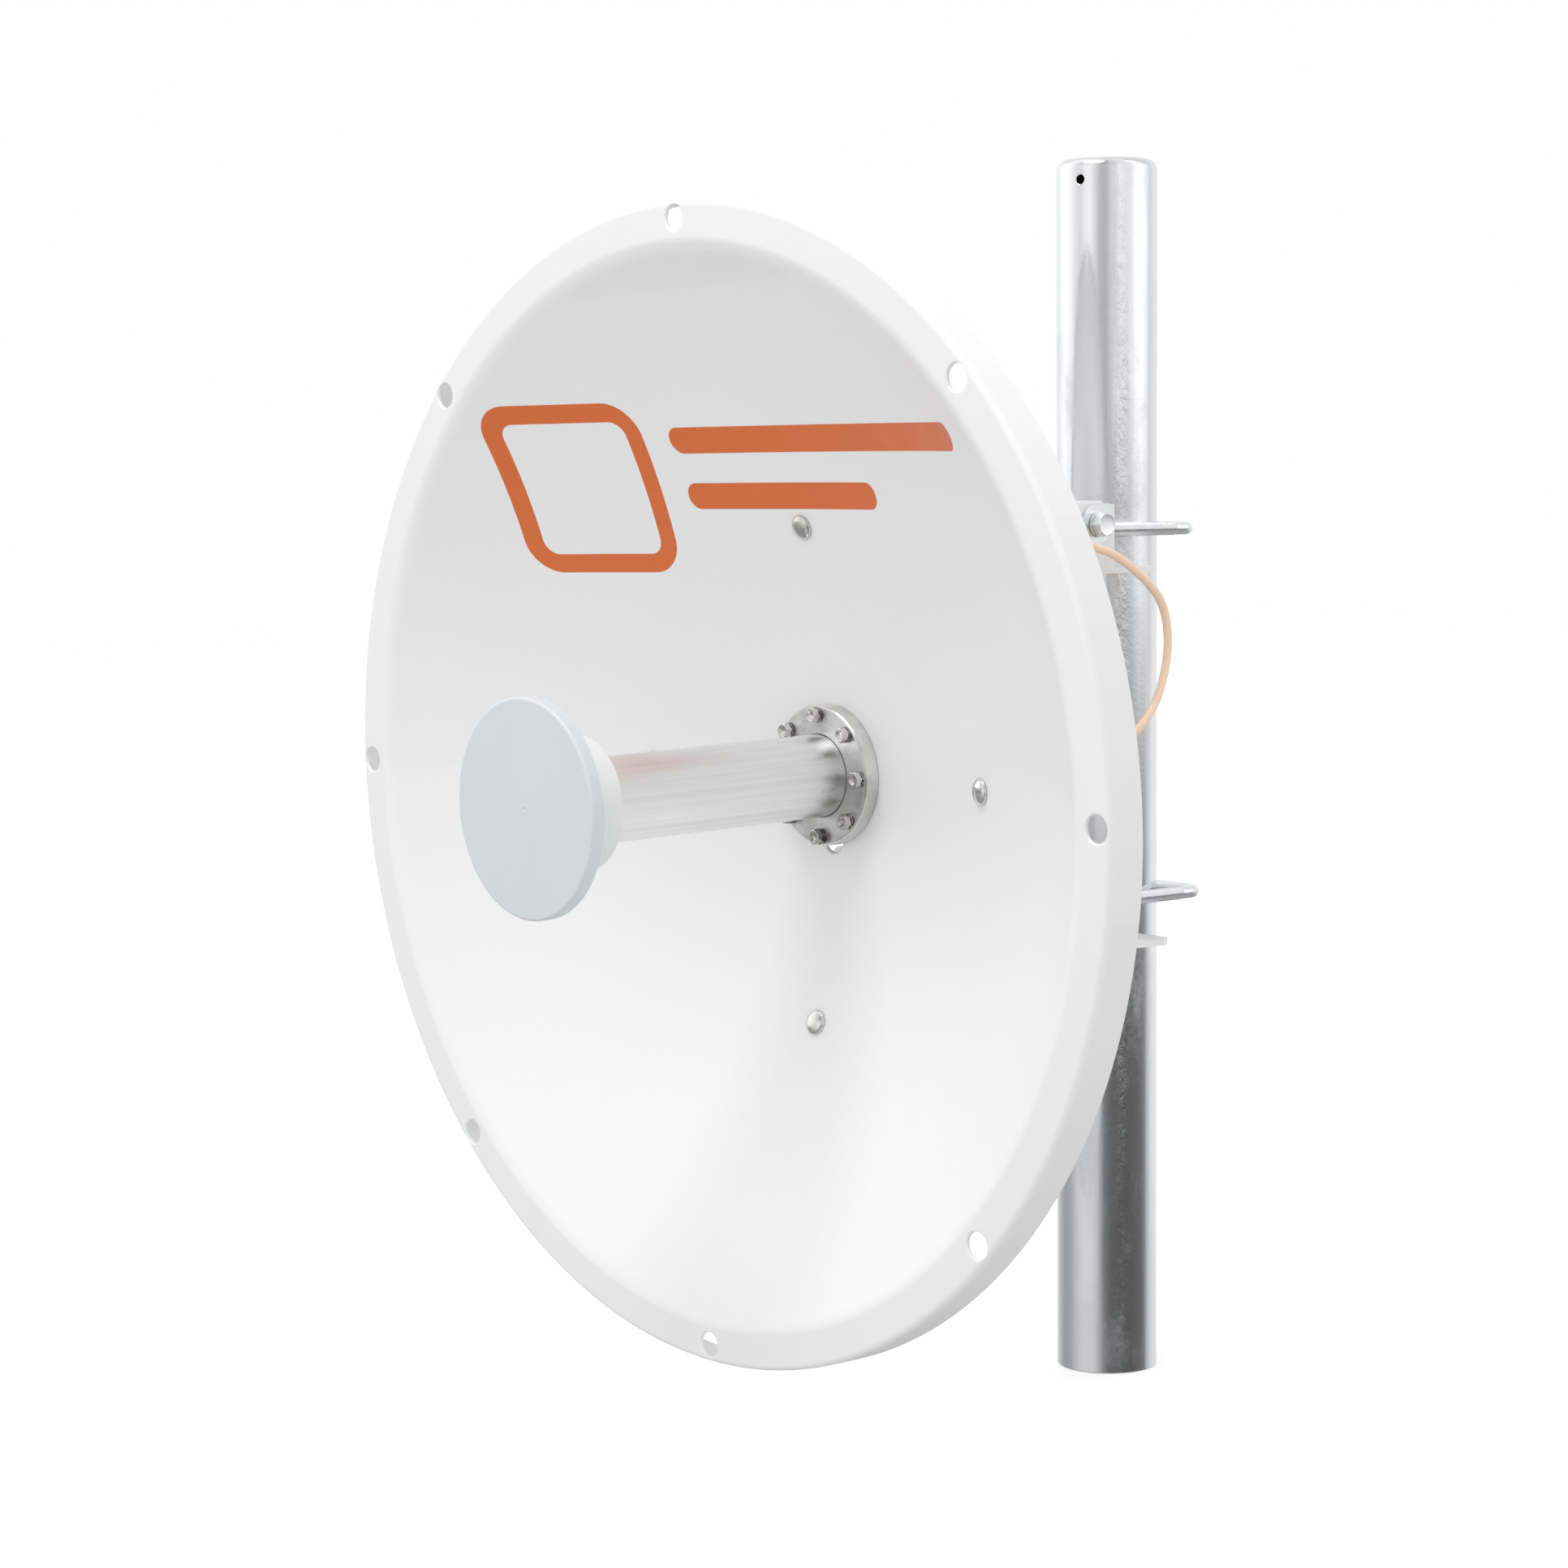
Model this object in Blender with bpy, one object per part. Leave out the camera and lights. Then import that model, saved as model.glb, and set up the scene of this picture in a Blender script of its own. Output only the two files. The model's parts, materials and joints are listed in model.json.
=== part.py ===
"""A two-foot parabolic dish antenna held on a length of round mast.

The origin is the centre of the mast's cut foot. +Z runs up the mast and the dish looks along -Y.
Lengths are in metres. The dish and all that tilts with it are laid out in the dish frame: its origin
is the centre of the rim, +Y runs back along the dish's axis, and depths are measured along +Y.
"""

import math

import bmesh
import bpy
from mathutils import Matrix, Vector

GAP = 0.0003

MAST_RADIUS = 0.03015
MAST_WALL = 0.0036
MAST_LENGTH = 0.730
VENT_HEIGHT = 0.7169
VENT_BEARING = math.radians(13.1)

PIVOT_Y = -0.0674
PIVOT_HEIGHT = 0.5143
AIM_DOWN = math.radians(1.57)
PIVOT_DEPTH = 0.2598
PIVOT_ABOVE_AXIS = 0.1347

BOWL_DEPTH = 0.103788
BOWL_SQUARE = 0.86145
BOWL_FOURTH = 3.653
BOWL_EDGE = 0.2949
DISH_SHEET = 0.002
SEAT_RADIUS = 0.040
FEED_HOLE_RADIUS = 0.026
DRAIN_HOLE_RADIUS = 0.008
DRAIN_HOLE_BELOW = 0.037
RIM_HOLE_RADIUS = 0.0073
RIM_HOLE_CIRCLE = 0.3107
RIM_HOLES = 8

TUBE_RADIUS = 0.0235
TUBE_WALL = 0.002
TUBE_START = -0.098
TUBE_END = 0.1043
FLANGE_RADIUS = 0.0399
FLANGE_FRONT = 0.0924
FLANGE_BACK = 0.1021
FLANGE_BOLT_CIRCLE = 0.0345
FLANGE_BOLT_RADIUS = 0.0025
FLANGE_BOLT_HEAD = 0.0036
FLANGE_BOLT_END = 0.1108
FLANGE_BOLTS = 8
FLANGE_WASHER_SHEET = 0.0012

DISC_RADIUS = 0.0596
DISC_FRONT = -0.1139
DISC_BACK = -0.1058
COLLAR_RADIUS = 0.037
COLLAR_BACK = -0.075

CARRIAGE_CIRCLE = 0.1402
CARRIAGE_RADIUS = 0.003
HUB_FRONT = 0.1137
HUB_BACK = 0.1173
HUB_INNER = 0.050
HUB_OUTER = 0.100
HUB_WING = 0.020
ARM_SHEET = 0.003
ARM_HALF_WIDTH = 0.018
EAR_OUTER = 0.0532
EAR_SHEET = 0.0028
LOCK_DEPTH = 0.2137
LOCK_BELOW_AXIS = 0.0854

CLAMP_OUTER = 0.057
CLAMP_SHEET = 0.0035
CLAMP_BACK = -0.0490
CLAMP_HEIGHT = 0.0402
UPPER_CLAMP_BASE = 0.4857
LOWER_CLAMP_BASE = 0.2639
SADDLE_HALF_WIDTH = 0.024
UPPER_FORK_BACK = -0.0095
LOWER_FORK_BACK = 0.0005
UPPER_U_BOLT_RISE = 0.0250
LOWER_U_BOLT_RISE = 0.0272
U_BOLT_LEG_X = 0.038
U_BOLT_BACK = 0.0345
U_BOLT_TIP = -0.0685
LOWER_U_BOLT_SLACK = 0.006
FORK_CORNER = 0.012
U_BOLT_BEND = 0.009
M8_RADIUS = 0.004
TILT_UP = math.radians(15)
TILT_DOWN = math.radians(10)

TRANSDUCER_FRONT = 0.1047
BLOCK_FRONT = 0.128
BLOCK_BACK = 0.168
BLOCK_HALF = 0.028
PORT_X = 0.014
PORT_ABOVE_AXIS = 0.012
PLUG_START = 0.1745
CABLE_RADIUS = 0.0025
CLIP_DEPTH = 0.206
CABLE_ROUTE = (
    (0.0140, 0.2000, 0.0120),
    (0.0140, 0.2120, 0.0120),
    (0.0190, 0.2290, 0.0100),
    (0.0330, 0.2430, 0.0050),
    (0.0500, 0.2520, 0.0015),
    (0.0640, 0.2620, 0.0040),
    (0.0715, 0.2749, 0.0139),
    (0.0722, 0.2902, 0.0287),
    (0.0720, 0.2987, 0.0448),
    (0.0720, 0.3025, 0.0613),
    (0.0720, 0.3018, 0.0770),
    (0.0720, 0.2965, 0.0900),
    (0.0720, 0.2876, 0.0992),
    (0.0720, 0.2773, 0.1070),
    (0.0720, 0.2609, 0.1167),
    (0.0714, 0.2410, 0.1237),
    (0.0674, 0.2265, 0.1288),
    (0.0643, 0.2150, 0.1308),
    (0.0640, 0.2040, 0.1310),
    (0.0640, 0.1850, 0.1310),
)

ALONG_DEPTH = Matrix.Rotation(-math.pi / 2, 4, "X")
ALONG_X = Matrix(((0, 0, 1, 0), (1, 0, 0, 0), (0, 1, 0, 0), (0, 0, 0, 1)))
SIX = True


def clear_scene():
    for obj in list(bpy.data.objects):
        bpy.data.objects.remove(obj, do_unlink=True)


def make_material(name, color, metallic, roughness):
    material = bpy.data.materials.new(name)
    material.use_nodes = True
    shader = material.node_tree.nodes["Principled BSDF"]
    shader.inputs["Base Color"].default_value = (*color, 1.0)
    shader.inputs["Metallic"].default_value = metallic
    shader.inputs["Roughness"].default_value = roughness
    return material


def turned(profile, steps):
    """A body turned about local Z from a closed loop of (radius, height), or (radius, height, SIX)
    where the section is a hexagon with that corner radius."""
    bm = bmesh.new()
    rings = []
    for radius, height, *six_sided in profile:
        if radius == 0:
            rings.append([bm.verts.new((0, 0, height))])
            continue
        ring = []
        for step in range(steps):
            angle = 2 * math.pi * step / steps
            flat = math.cos(math.pi / 6) / math.cos(angle % (math.pi / 3) - math.pi / 6)
            reach = radius * flat if six_sided else radius
            ring.append(bm.verts.new((reach * math.cos(angle), reach * math.sin(angle), height)))
        rings.append(ring)
    for first, second in zip(rings, rings[1:] + rings[:1]):
        for step in range(steps):
            after = (step + 1) % steps
            corners = [first[step % len(first)], first[after % len(first)]]
            corners += [second[after % len(second)], second[step % len(second)]]
            corners = list(dict.fromkeys(corners))
            if len(corners) > 2:
                bm.faces.new(corners)
    bmesh.ops.recalc_face_normals(bm, faces=bm.faces)
    return bm


def rod(radius, low, high, steps=16):
    return turned([(0, low), (radius, low), (radius, high), (0, high)], steps)


def prism(outline, low, high):
    """The outline in local XY, raised along local Z from low to high."""
    bm = bmesh.new()
    base = [bm.verts.new((x, y, low)) for x, y in outline]
    top = [bm.verts.new((x, y, high)) for x, y in outline]
    bm.faces.new(base)
    bm.faces.new(top)
    for index in range(len(outline)):
        after = (index + 1) % len(outline)
        bm.faces.new((base[index], base[after], top[after], top[index]))
    bmesh.ops.recalc_face_normals(bm, faces=bm.faces)
    return bm


def box(low, high):
    corners = [(low[0], low[1]), (high[0], low[1]), (high[0], high[1]), (low[0], high[1])]
    return prism(corners, low[2], high[2])


def swept(path, radius, sides):
    """A round bar along a path that lies flat in local XY."""
    bm = bmesh.new()
    points = [Vector(point) for point in path]
    rings = []
    for index, point in enumerate(points):
        before = points[max(index - 1, 0)]
        after = points[min(index + 1, len(points) - 1)]
        side = (after - before).normalized().cross(Vector((0, 0, 1)))
        if 0 < index < len(points) - 1:
            side *= 1 / math.cos((after - point).angle(point - before) / 2)
        ring = []
        for step in range(sides):
            angle = 2 * math.pi * step / sides
            offset = side * radius * math.cos(angle) + Vector((0, 0, radius * math.sin(angle)))
            ring.append(bm.verts.new(point + offset))
        rings.append(ring)
    for first, second in zip(rings, rings[1:]):
        for step in range(sides):
            after = (step + 1) % sides
            bm.faces.new((first[step], first[after], second[after], second[step]))
    bm.faces.new(rings[0])
    bm.faces.new(rings[-1])
    bmesh.ops.recalc_face_normals(bm, faces=bm.faces)
    return bm


def thickened(path, thickness):
    """The closed outline of a bent sheet: the path, and back along it at this distance to its left."""
    far_side = []
    for index, point in enumerate(path):
        normals = []
        for first, second in zip(path[max(index - 1, 0) : index + 1], path[max(index, 1) : index + 2]):
            run, rise = second[0] - first[0], second[1] - first[1]
            length = math.hypot(run, rise)
            normals.append((-rise / length, run / length))
        lean = 1 + (normals[0][0] * normals[-1][0] + normals[0][1] * normals[-1][1])
        shift = [(normals[0][axis] + normals[-1][axis]) / lean * thickness for axis in (0, 1)]
        far_side.append((point[0] + shift[0], point[1] + shift[1]))
    return list(path) + far_side[::-1]


def arc(centre, radius, start, end, count):
    """Points on a circle from start to end, in degrees."""
    angles = [math.radians(start + (end - start) * step / count) for step in range(count + 1)]
    return [(centre[0] + radius * math.cos(a), centre[1] + radius * math.sin(a)) for a in angles]


def mirrored(bm):
    """The same body on the other side of the YZ plane."""
    copy = bm.copy()
    bmesh.ops.scale(copy, vec=(-1, 1, 1), verts=copy.verts)
    bmesh.ops.reverse_faces(copy, faces=copy.faces)
    return copy


def placed(bm, *matrices):
    """The body after each matrix in turn."""
    for matrix in matrices:
        bmesh.ops.transform(bm, matrix=matrix, verts=bm.verts)
    return bm


def moved(x, y, z):
    return Matrix.Translation((x, y, z))


def about_dish_axis(degrees):
    """A turn about the dish's axis. A point above the axis moves towards +X."""
    return Matrix.Rotation(math.radians(degrees), 4, "Y")


def add_empty(name, location, parent=None):
    empty = bpy.data.objects.new(name, None)
    empty.empty_display_size = 0.05
    empty.location = location
    empty.parent = parent
    bpy.context.scene.collection.objects.link(empty)
    return empty


def add_body(name, bm, material, parent):
    mesh = bpy.data.meshes.new(name)
    bm.to_mesh(mesh)
    bm.free()
    mesh.shade_smooth()
    mesh.set_sharp_from_angle(angle=math.radians(32))
    mesh.materials.append(material)
    obj = bpy.data.objects.new(name, mesh)
    obj.parent = parent
    obj.location = parent.get("frame_origin", (0, 0, 0))
    bpy.context.scene.collection.objects.link(obj)
    return obj


def join_bodies(solids):
    whole = bmesh.new()
    for solid in solids:
        mesh = bpy.data.meshes.new("joined")
        solid.to_mesh(mesh)
        solid.free()
        whole.from_mesh(mesh)
        bpy.data.meshes.remove(mesh)
    return whole


def combine(obj, operation, solids):
    """Adds each solid to the object, or cuts it away, with a Boolean that has a hidden operand."""
    for number, solid in enumerate(solids):
        name = f"{operation.lower()}_{obj.name}_{number}"
        operand = add_body(name, solid, obj.data.materials[0], obj.parent)
        operand.hide_render = True
        operand.display_type = "WIRE"
        modifier = obj.modifiers.new(name, "BOOLEAN")
        modifier.operation = operation
        modifier.solver = "EXACT"
        modifier.object = operand


def cut(obj, solids):
    combine(obj, "DIFFERENCE", [join_bodies(solids)])


def bowl_depth(radius):
    return BOWL_DEPTH - BOWL_SQUARE * radius**2 - BOWL_FOURTH * radius**4


def bowl_slope(radius):
    return -2 * BOWL_SQUARE * radius - 4 * BOWL_FOURTH * radius**3


def nut_profile(bore, corner_radius, height):
    face = corner_radius * 0.84
    return [
        (bore, 0),
        (corner_radius, 0, SIX),
        (corner_radius, height - 0.0006, SIX),
        (face, height),
        (bore, height),
    ]


def hex_bolt(length):
    """An M8 bolt with its spring washer under the head: local +Z is the head's side, 0 its seat."""
    profile = [(0, -length), (M8_RADIUS - 0.0006, -length), (M8_RADIUS, -length + 0.0006)]
    profile += [(M8_RADIUS, 0), (0.0072, 0), (0.0072, 0.0018), (0.0075, 0.0018, SIX)]
    profile += [(0.0075, 0.0066, SIX), (0.0062, 0.0073), (0, 0.0073)]
    return turned(profile, 12)


def make_mast(material, parent):
    bore = MAST_RADIUS - MAST_WALL
    cap = MAST_LENGTH - MAST_WALL
    profile = [(bore, 0), (MAST_RADIUS, 0), (MAST_RADIUS, MAST_LENGTH - 0.006)]
    profile += arc((MAST_RADIUS - 0.005, MAST_LENGTH - 0.006), 0.005, 22, 90, 3)
    profile += [(0, MAST_LENGTH), (0, cap), (bore - 0.002, cap - 0.001), (bore, cap - 0.003)]
    mast = add_body("mast_pipe", turned(profile, 48), material, parent)
    vent = placed(
        rod(0.00275, 0, 0.05),
        Matrix.Rotation(math.pi / 2, 4, "X"),
        Matrix.Rotation(VENT_BEARING, 4, "Z"),
        moved(0, 0, VENT_HEIGHT),
    )
    cut(mast, [vent])


def from_pivot(radius, degrees):
    """A point in the (y, z) plane below the pivot, swung this far forward of straight down."""
    angle = math.radians(degrees)
    return PIVOT_Y - radius * math.sin(angle), PIVOT_HEIGHT - radius * math.cos(angle)


def lock_swing():
    """The lock bolt's distance from the pivot, and how far forward of straight down it is at rest."""
    back = LOCK_DEPTH - PIVOT_DEPTH
    down = PIVOT_ABOVE_AXIS + LOCK_BELOW_AXIS
    return math.hypot(back, down), math.degrees(math.atan2(-back, down) - AIM_DOWN)


def lock_slot():
    radius, rest = lock_swing()
    low = rest - math.degrees(TILT_DOWN)
    high = rest + math.degrees(TILT_UP)
    half = M8_RADIUS + GAP
    steps = [low + (high - low) * step / 10 for step in range(11)]
    outline = [from_pivot(radius + half, angle) for angle in steps]
    end = from_pivot(radius, high)
    outline += arc(end, half, 270 - high, 90 - high, 6)[1:-1]
    outline += [from_pivot(radius - half, angle) for angle in reversed(steps)]
    start = from_pivot(radius, low)
    outline += arc(start, half, 90 - low, -90 - low, 6)[1:-1]
    return outline


def upper_cheek():
    base, top = UPPER_CLAMP_BASE, UPPER_CLAMP_BASE + CLAMP_HEIGHT
    front = PIVOT_Y - 0.018
    corners = [(CLAMP_BACK, base), (CLAMP_BACK, top), (front + 0.006, top)]
    return corners + [(front, top - 0.006), (front, base + 0.006), (front + 0.006, base)]


def lower_cheek():
    radius, _ = lock_swing()
    base, top = LOWER_CLAMP_BASE, LOWER_CLAMP_BASE + CLAMP_HEIGHT
    corners = [(CLAMP_BACK, base), (CLAMP_BACK, top)]
    corners += [from_pivot(radius - 0.014, angle) for angle in (7, 12, 17, 22, 27)]
    corners += [from_pivot(radius - 0.008, 28.6), from_pivot(radius + 0.010, 28.6)]
    corners += [from_pivot(radius + 0.016, angle) for angle in (27, 22, 17, 12, 8)]
    return corners + [(PIVOT_Y - 0.018, base)]


def make_clamp(name, cheek, base, fork_back, rise, openings, material, parent):
    """One bent steel clamp: two cheeks, the web that the U-bolt pulls on, and the fork and saddle
    that bear on the mast."""
    inner = CLAMP_OUTER - CLAMP_SHEET
    top = base + CLAMP_HEIGHT
    web = box((-inner - 0.001, CLAMP_BACK - CLAMP_SHEET, base), (inner + 0.001, CLAMP_BACK, top))
    clamp = add_body(name, web, material, parent)
    side = placed(prism(cheek, inner, CLAMP_OUTER), ALONG_X)
    corner = (CLAMP_OUTER - FORK_CORNER, fork_back - FORK_CORNER)
    rounded = arc(corner, FORK_CORNER, 90, 0, 4)
    fork = [(-CLAMP_OUTER, CLAMP_BACK - CLAMP_SHEET)] + [(-x, y) for x, y in reversed(rounded)]
    fork += rounded + [(CLAMP_OUTER, CLAMP_BACK - CLAMP_SHEET)]
    saddle = box(
        (-SADDLE_HALF_WIDTH, CLAMP_BACK - 0.001, top - CLAMP_SHEET),
        (SADDLE_HALF_WIDTH, -0.0215, top),
    )
    parts = [side, mirrored(side), prism(fork, base, base + CLAMP_SHEET), saddle]
    combine(clamp, "UNION", parts)
    holes = [rod(MAST_RADIUS + GAP, base - 0.01, top + 0.01, 48)]
    leg = placed(rod(M8_RADIUS + GAP, -0.01, 0.01), ALONG_DEPTH)
    placed(leg, moved(U_BOLT_LEG_X, CLAMP_BACK, base + rise))
    holes += [leg, mirrored(leg)]
    for opening in openings:
        through = placed(prism(opening, inner - 0.005, CLAMP_OUTER + 0.005), ALONG_X)
        holes += [through, mirrored(through)]
    cut(clamp, holes)


def make_u_bolt(name, height, slack, material, parent):
    """A square U-bolt round the mast. Slack is how far it still is from bearing on the mast."""
    bend = (U_BOLT_LEG_X - U_BOLT_BEND, U_BOLT_BACK - U_BOLT_BEND)
    half = [(U_BOLT_LEG_X, U_BOLT_TIP)] + arc(bend, U_BOLT_BEND, 0, 90, 5)
    path = half + [(-x, y) for x, y in reversed(half)]
    bar = swept([(x, y + slack, height) for x, y in path], M8_RADIUS, 12)
    add_body(name, bar, material, parent)
    bore = M8_RADIUS + GAP
    profile = [(bore, 0), (0.0085, 0), (0.0085, 0.0014), (0.0075, 0.0020, SIX)]
    profile += [(0.0075, 0.0066, SIX), (0.0062, 0.0072), (bore, 0.0072)]
    seat = CLAMP_BACK - CLAMP_SHEET - GAP
    for side, x in (("right", U_BOLT_LEG_X), ("left", -U_BOLT_LEG_X)):
        nut = placed(
            turned(profile, 12),
            Matrix.Rotation(math.pi / 6, 4, "Z"),
            Matrix.Rotation(math.pi / 2, 4, "X"),
            moved(x, seat, height),
        )
        add_body(f"{name}_nut_{side}", nut, material, parent)


def make_mount(materials, parent):
    pivot = arc((PIVOT_Y, PIVOT_HEIGHT), M8_RADIUS + GAP, 0, 360, 16)[:-1]
    paint, zinc = materials["bracket_paint"], materials["zinc_plate"]
    base, rise = UPPER_CLAMP_BASE, UPPER_U_BOLT_RISE
    make_clamp("upper_clamp", upper_cheek(), base, UPPER_FORK_BACK, rise, [pivot], paint, parent)
    make_u_bolt("upper_u_bolt", base + rise, 0.0, zinc, parent)
    base, rise = LOWER_CLAMP_BASE, LOWER_U_BOLT_RISE
    make_clamp("lower_clamp", lower_cheek(), base, LOWER_FORK_BACK, rise, [lock_slot()], paint, parent)
    make_u_bolt("lower_u_bolt", base + rise, LOWER_U_BOLT_SLACK, zinc, parent)


def make_cross_bolts(name, y, z, material, parent):
    """A bolt, washer and nut through each cheek, with the head outside and the nut inside."""
    seat = CLAMP_OUTER + GAP
    washer = [(M8_RADIUS + GAP, 0), (0.012, 0), (0.012, 0.0018), (M8_RADIUS + GAP, 0.0018)]
    spot = moved(0, y, z)
    bodies = {
        "washer": placed(turned(washer, 24), ALONG_X, moved(seat, 0, 0), spot),
        "bolt": placed(hex_bolt(0.0168), ALONG_X, moved(seat + 0.0018 + GAP, 0, 0), spot),
        "nut": placed(
            turned(nut_profile(M8_RADIUS + GAP, 0.0075, 0.0065), 12),
            Matrix.Rotation(math.pi, 4, "X"),
            Matrix.Rotation(math.pi / 6, 4, "Z"),
            ALONG_X,
            moved(EAR_OUTER - EAR_SHEET - GAP, 0, 0),
            spot,
        ),
    }
    for kind, body in bodies.items():
        add_body(f"{name}_{kind}_left", mirrored(body), material, parent)
        add_body(f"{name}_{kind}_right", body, material, parent)


def reflector_face():
    """The dish's front face as (radius, depth), from its feed hole out over the rim."""
    radii = (0.085, 0.120, CARRIAGE_CIRCLE, 0.165, 0.200, 0.234, 0.266, BOWL_EDGE)
    path = [(FEED_HOLE_RADIUS, bowl_depth(SEAT_RADIUS)), (SEAT_RADIUS, bowl_depth(SEAT_RADIUS))]
    path += [(radius, bowl_depth(radius)) for radius in radii]
    path += [(0.2975, 0), (0.3178, 0), (0.3198, 0.0009), (0.3204, 0.0030)]
    return path + [(0.3209, 0.0220)]


def make_reflector(material, parent):
    profile = thickened(reflector_face(), DISH_SHEET)
    body = placed(turned(profile, 60), ALONG_DEPTH)
    reflector = add_body("reflector", body, material, parent)
    holes = []
    for number in range(RIM_HOLES):
        hole = placed(rod(RIM_HOLE_RADIUS, -0.005, 0.007), ALONG_DEPTH)
        placed(hole, moved(0, 0, RIM_HOLE_CIRCLE), about_dish_axis(45 * number))
        holes.append(hole)
    for number in range(FLANGE_BOLTS):
        if number != FLANGE_BOLTS // 2:
            hole = placed(rod(FLANGE_BOLT_RADIUS + GAP, 0.09, 0.12, 12), ALONG_DEPTH)
            placed(hole, moved(0, 0, FLANGE_BOLT_CIRCLE), about_dish_axis(45 * number))
            holes.append(hole)
    drain = placed(rod(DRAIN_HOLE_RADIUS, 0.09, 0.12, 24), ALONG_DEPTH)
    holes.append(placed(drain, moved(0, 0, -DRAIN_HOLE_BELOW)))
    for number in range(4):
        hole = placed(rod(CARRIAGE_RADIUS + GAP, -0.02, 0.02, 12), carriage_seat(number))
        holes.append(hole)
    cut(reflector, holes)


def carriage_seat(number):
    """Where a carriage bolt sits: its local +Z runs back through the bowl's sheet, square to it."""
    lean = -math.atan(bowl_slope(CARRIAGE_CIRCLE))
    seat = moved(0, bowl_depth(CARRIAGE_CIRCLE), CARRIAGE_CIRCLE)
    return about_dish_axis(90 * number) @ seat @ Matrix.Rotation(lean, 4, "X") @ ALONG_DEPTH


def make_carriage_bolts(material, parent):
    shank = DISH_SHEET + ARM_SHEET + 0.010
    head = [(0, -0.0036), (0.0030, -0.0034), (0.0055, -0.0026), (0.0070, -0.0012)]
    head += [(0.0073, -GAP), (CARRIAGE_RADIUS, -GAP), (CARRIAGE_RADIUS, shank), (0, shank)]
    nut = nut_profile(CARRIAGE_RADIUS + GAP, 0.0057, 0.005)
    seat = moved(0, 0, DISH_SHEET + ARM_SHEET + 2 * GAP)
    for number, place in enumerate(("top", "right", "bottom", "left")):
        bolt = placed(turned(head, 16), carriage_seat(number))
        add_body(f"carriage_bolt_{place}", bolt, material, parent)
        body = placed(turned(nut, 12), seat, carriage_seat(number))
        add_body(f"carriage_nut_{place}", body, material, parent)


def make_feed(materials, parent):
    tube_bore = TUBE_RADIUS - TUBE_WALL
    tube = [(tube_bore, TUBE_START), (TUBE_RADIUS, TUBE_START)]
    tube += [(TUBE_RADIUS, TUBE_END), (tube_bore, TUBE_END)]
    body = placed(turned(tube, 40), ALONG_DEPTH)
    add_body("feed_tube", body, materials["tube_aluminium"], parent)
    hole = TUBE_RADIUS + GAP
    collar = [(0, DISC_BACK + GAP), (COLLAR_RADIUS, DISC_BACK + GAP)]
    collar += [(COLLAR_RADIUS, COLLAR_BACK - 0.0015), (COLLAR_RADIUS - 0.0015, COLLAR_BACK)]
    collar += [(hole, COLLAR_BACK), (hole, TUBE_START - GAP), (0, TUBE_START - GAP)]
    body = placed(turned(collar, 40), ALONG_DEPTH)
    add_body("feed_collar", body, materials["collar_plastic"], parent)
    disc = [(0, DISC_FRONT + 0.0006), (0.0008, DISC_FRONT), (DISC_RADIUS - 0.0008, DISC_FRONT)]
    disc += [(DISC_RADIUS, DISC_FRONT + 0.0008), (DISC_RADIUS, DISC_BACK), (0, DISC_BACK)]
    body = placed(turned(disc, 56), ALONG_DEPTH)
    add_body("subreflector", body, materials["disc_plastic"], parent)
    flange = [(hole, FLANGE_FRONT), (0.0386, FLANGE_FRONT), (0.0395, FLANGE_FRONT + 0.0010)]
    flange += [(FLANGE_RADIUS, FLANGE_FRONT + 0.0016), (FLANGE_RADIUS, FLANGE_BACK)]
    body = placed(turned(flange + [(hole, FLANGE_BACK)], 40), ALONG_DEPTH)
    flange = add_body("feed_flange", body, materials["stainless"], parent)
    cut(flange, flange_bolt_holes(0.08, 0.11))


def flange_bolt_holes(front, back):
    holes = []
    for number in range(FLANGE_BOLTS):
        hole = placed(rod(FLANGE_BOLT_RADIUS + GAP, front, back, 12), ALONG_DEPTH)
        placed(hole, moved(0, 0, FLANGE_BOLT_CIRCLE), about_dish_axis(45 * number))
        holes.append(hole)
    return holes


def make_flange_bolts(material, parent):
    """Hexagon bolts with a dished head, each on a spring washer."""
    seat = FLANGE_FRONT - GAP
    bore = FLANGE_BOLT_RADIUS + GAP
    washer = [(bore, seat - FLANGE_WASHER_SHEET), (0.0045, seat - FLANGE_WASHER_SHEET)]
    washer += [(0.0045, seat), (bore, seat)]
    under = seat - FLANGE_WASHER_SHEET - GAP
    front = under - FLANGE_BOLT_HEAD
    bolt = [(0, front + 0.0009), (0.0018, front + 0.0009), (0.0030, front), (0.0038, front)]
    bolt += [(0.00462, front + 0.0005, SIX), (0.00462, under, SIX), (FLANGE_BOLT_RADIUS, under)]
    bolt += [(FLANGE_BOLT_RADIUS, FLANGE_BOLT_END), (0, FLANGE_BOLT_END)]
    for number in range(FLANGE_BOLTS):
        spot = about_dish_axis(45 * number) @ moved(0, 0, FLANGE_BOLT_CIRCLE) @ ALONG_DEPTH
        body = placed(turned(washer, 12), spot)
        add_body(f"flange_washer_{number + 1}", body, material, parent)
        add_body(f"flange_bolt_{number + 1}", placed(turned(bolt, 12), spot), material, parent)


def arm_path():
    """The front face of one arm as (radius, depth), from the hub to the end of its foot."""
    slope = bowl_slope(CARRIAGE_CIRCLE)
    seat = bowl_depth(CARRIAGE_CIRCLE) + (DISH_SHEET + GAP) * math.hypot(1, slope)
    foot = [(r, seat + slope * (r - CARRIAGE_CIRCLE)) for r in (0.124, 0.157)]
    middle = (HUB_FRONT + HUB_BACK - ARM_SHEET) / 2
    return [(0.085, middle), (0.110, middle)] + foot


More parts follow.
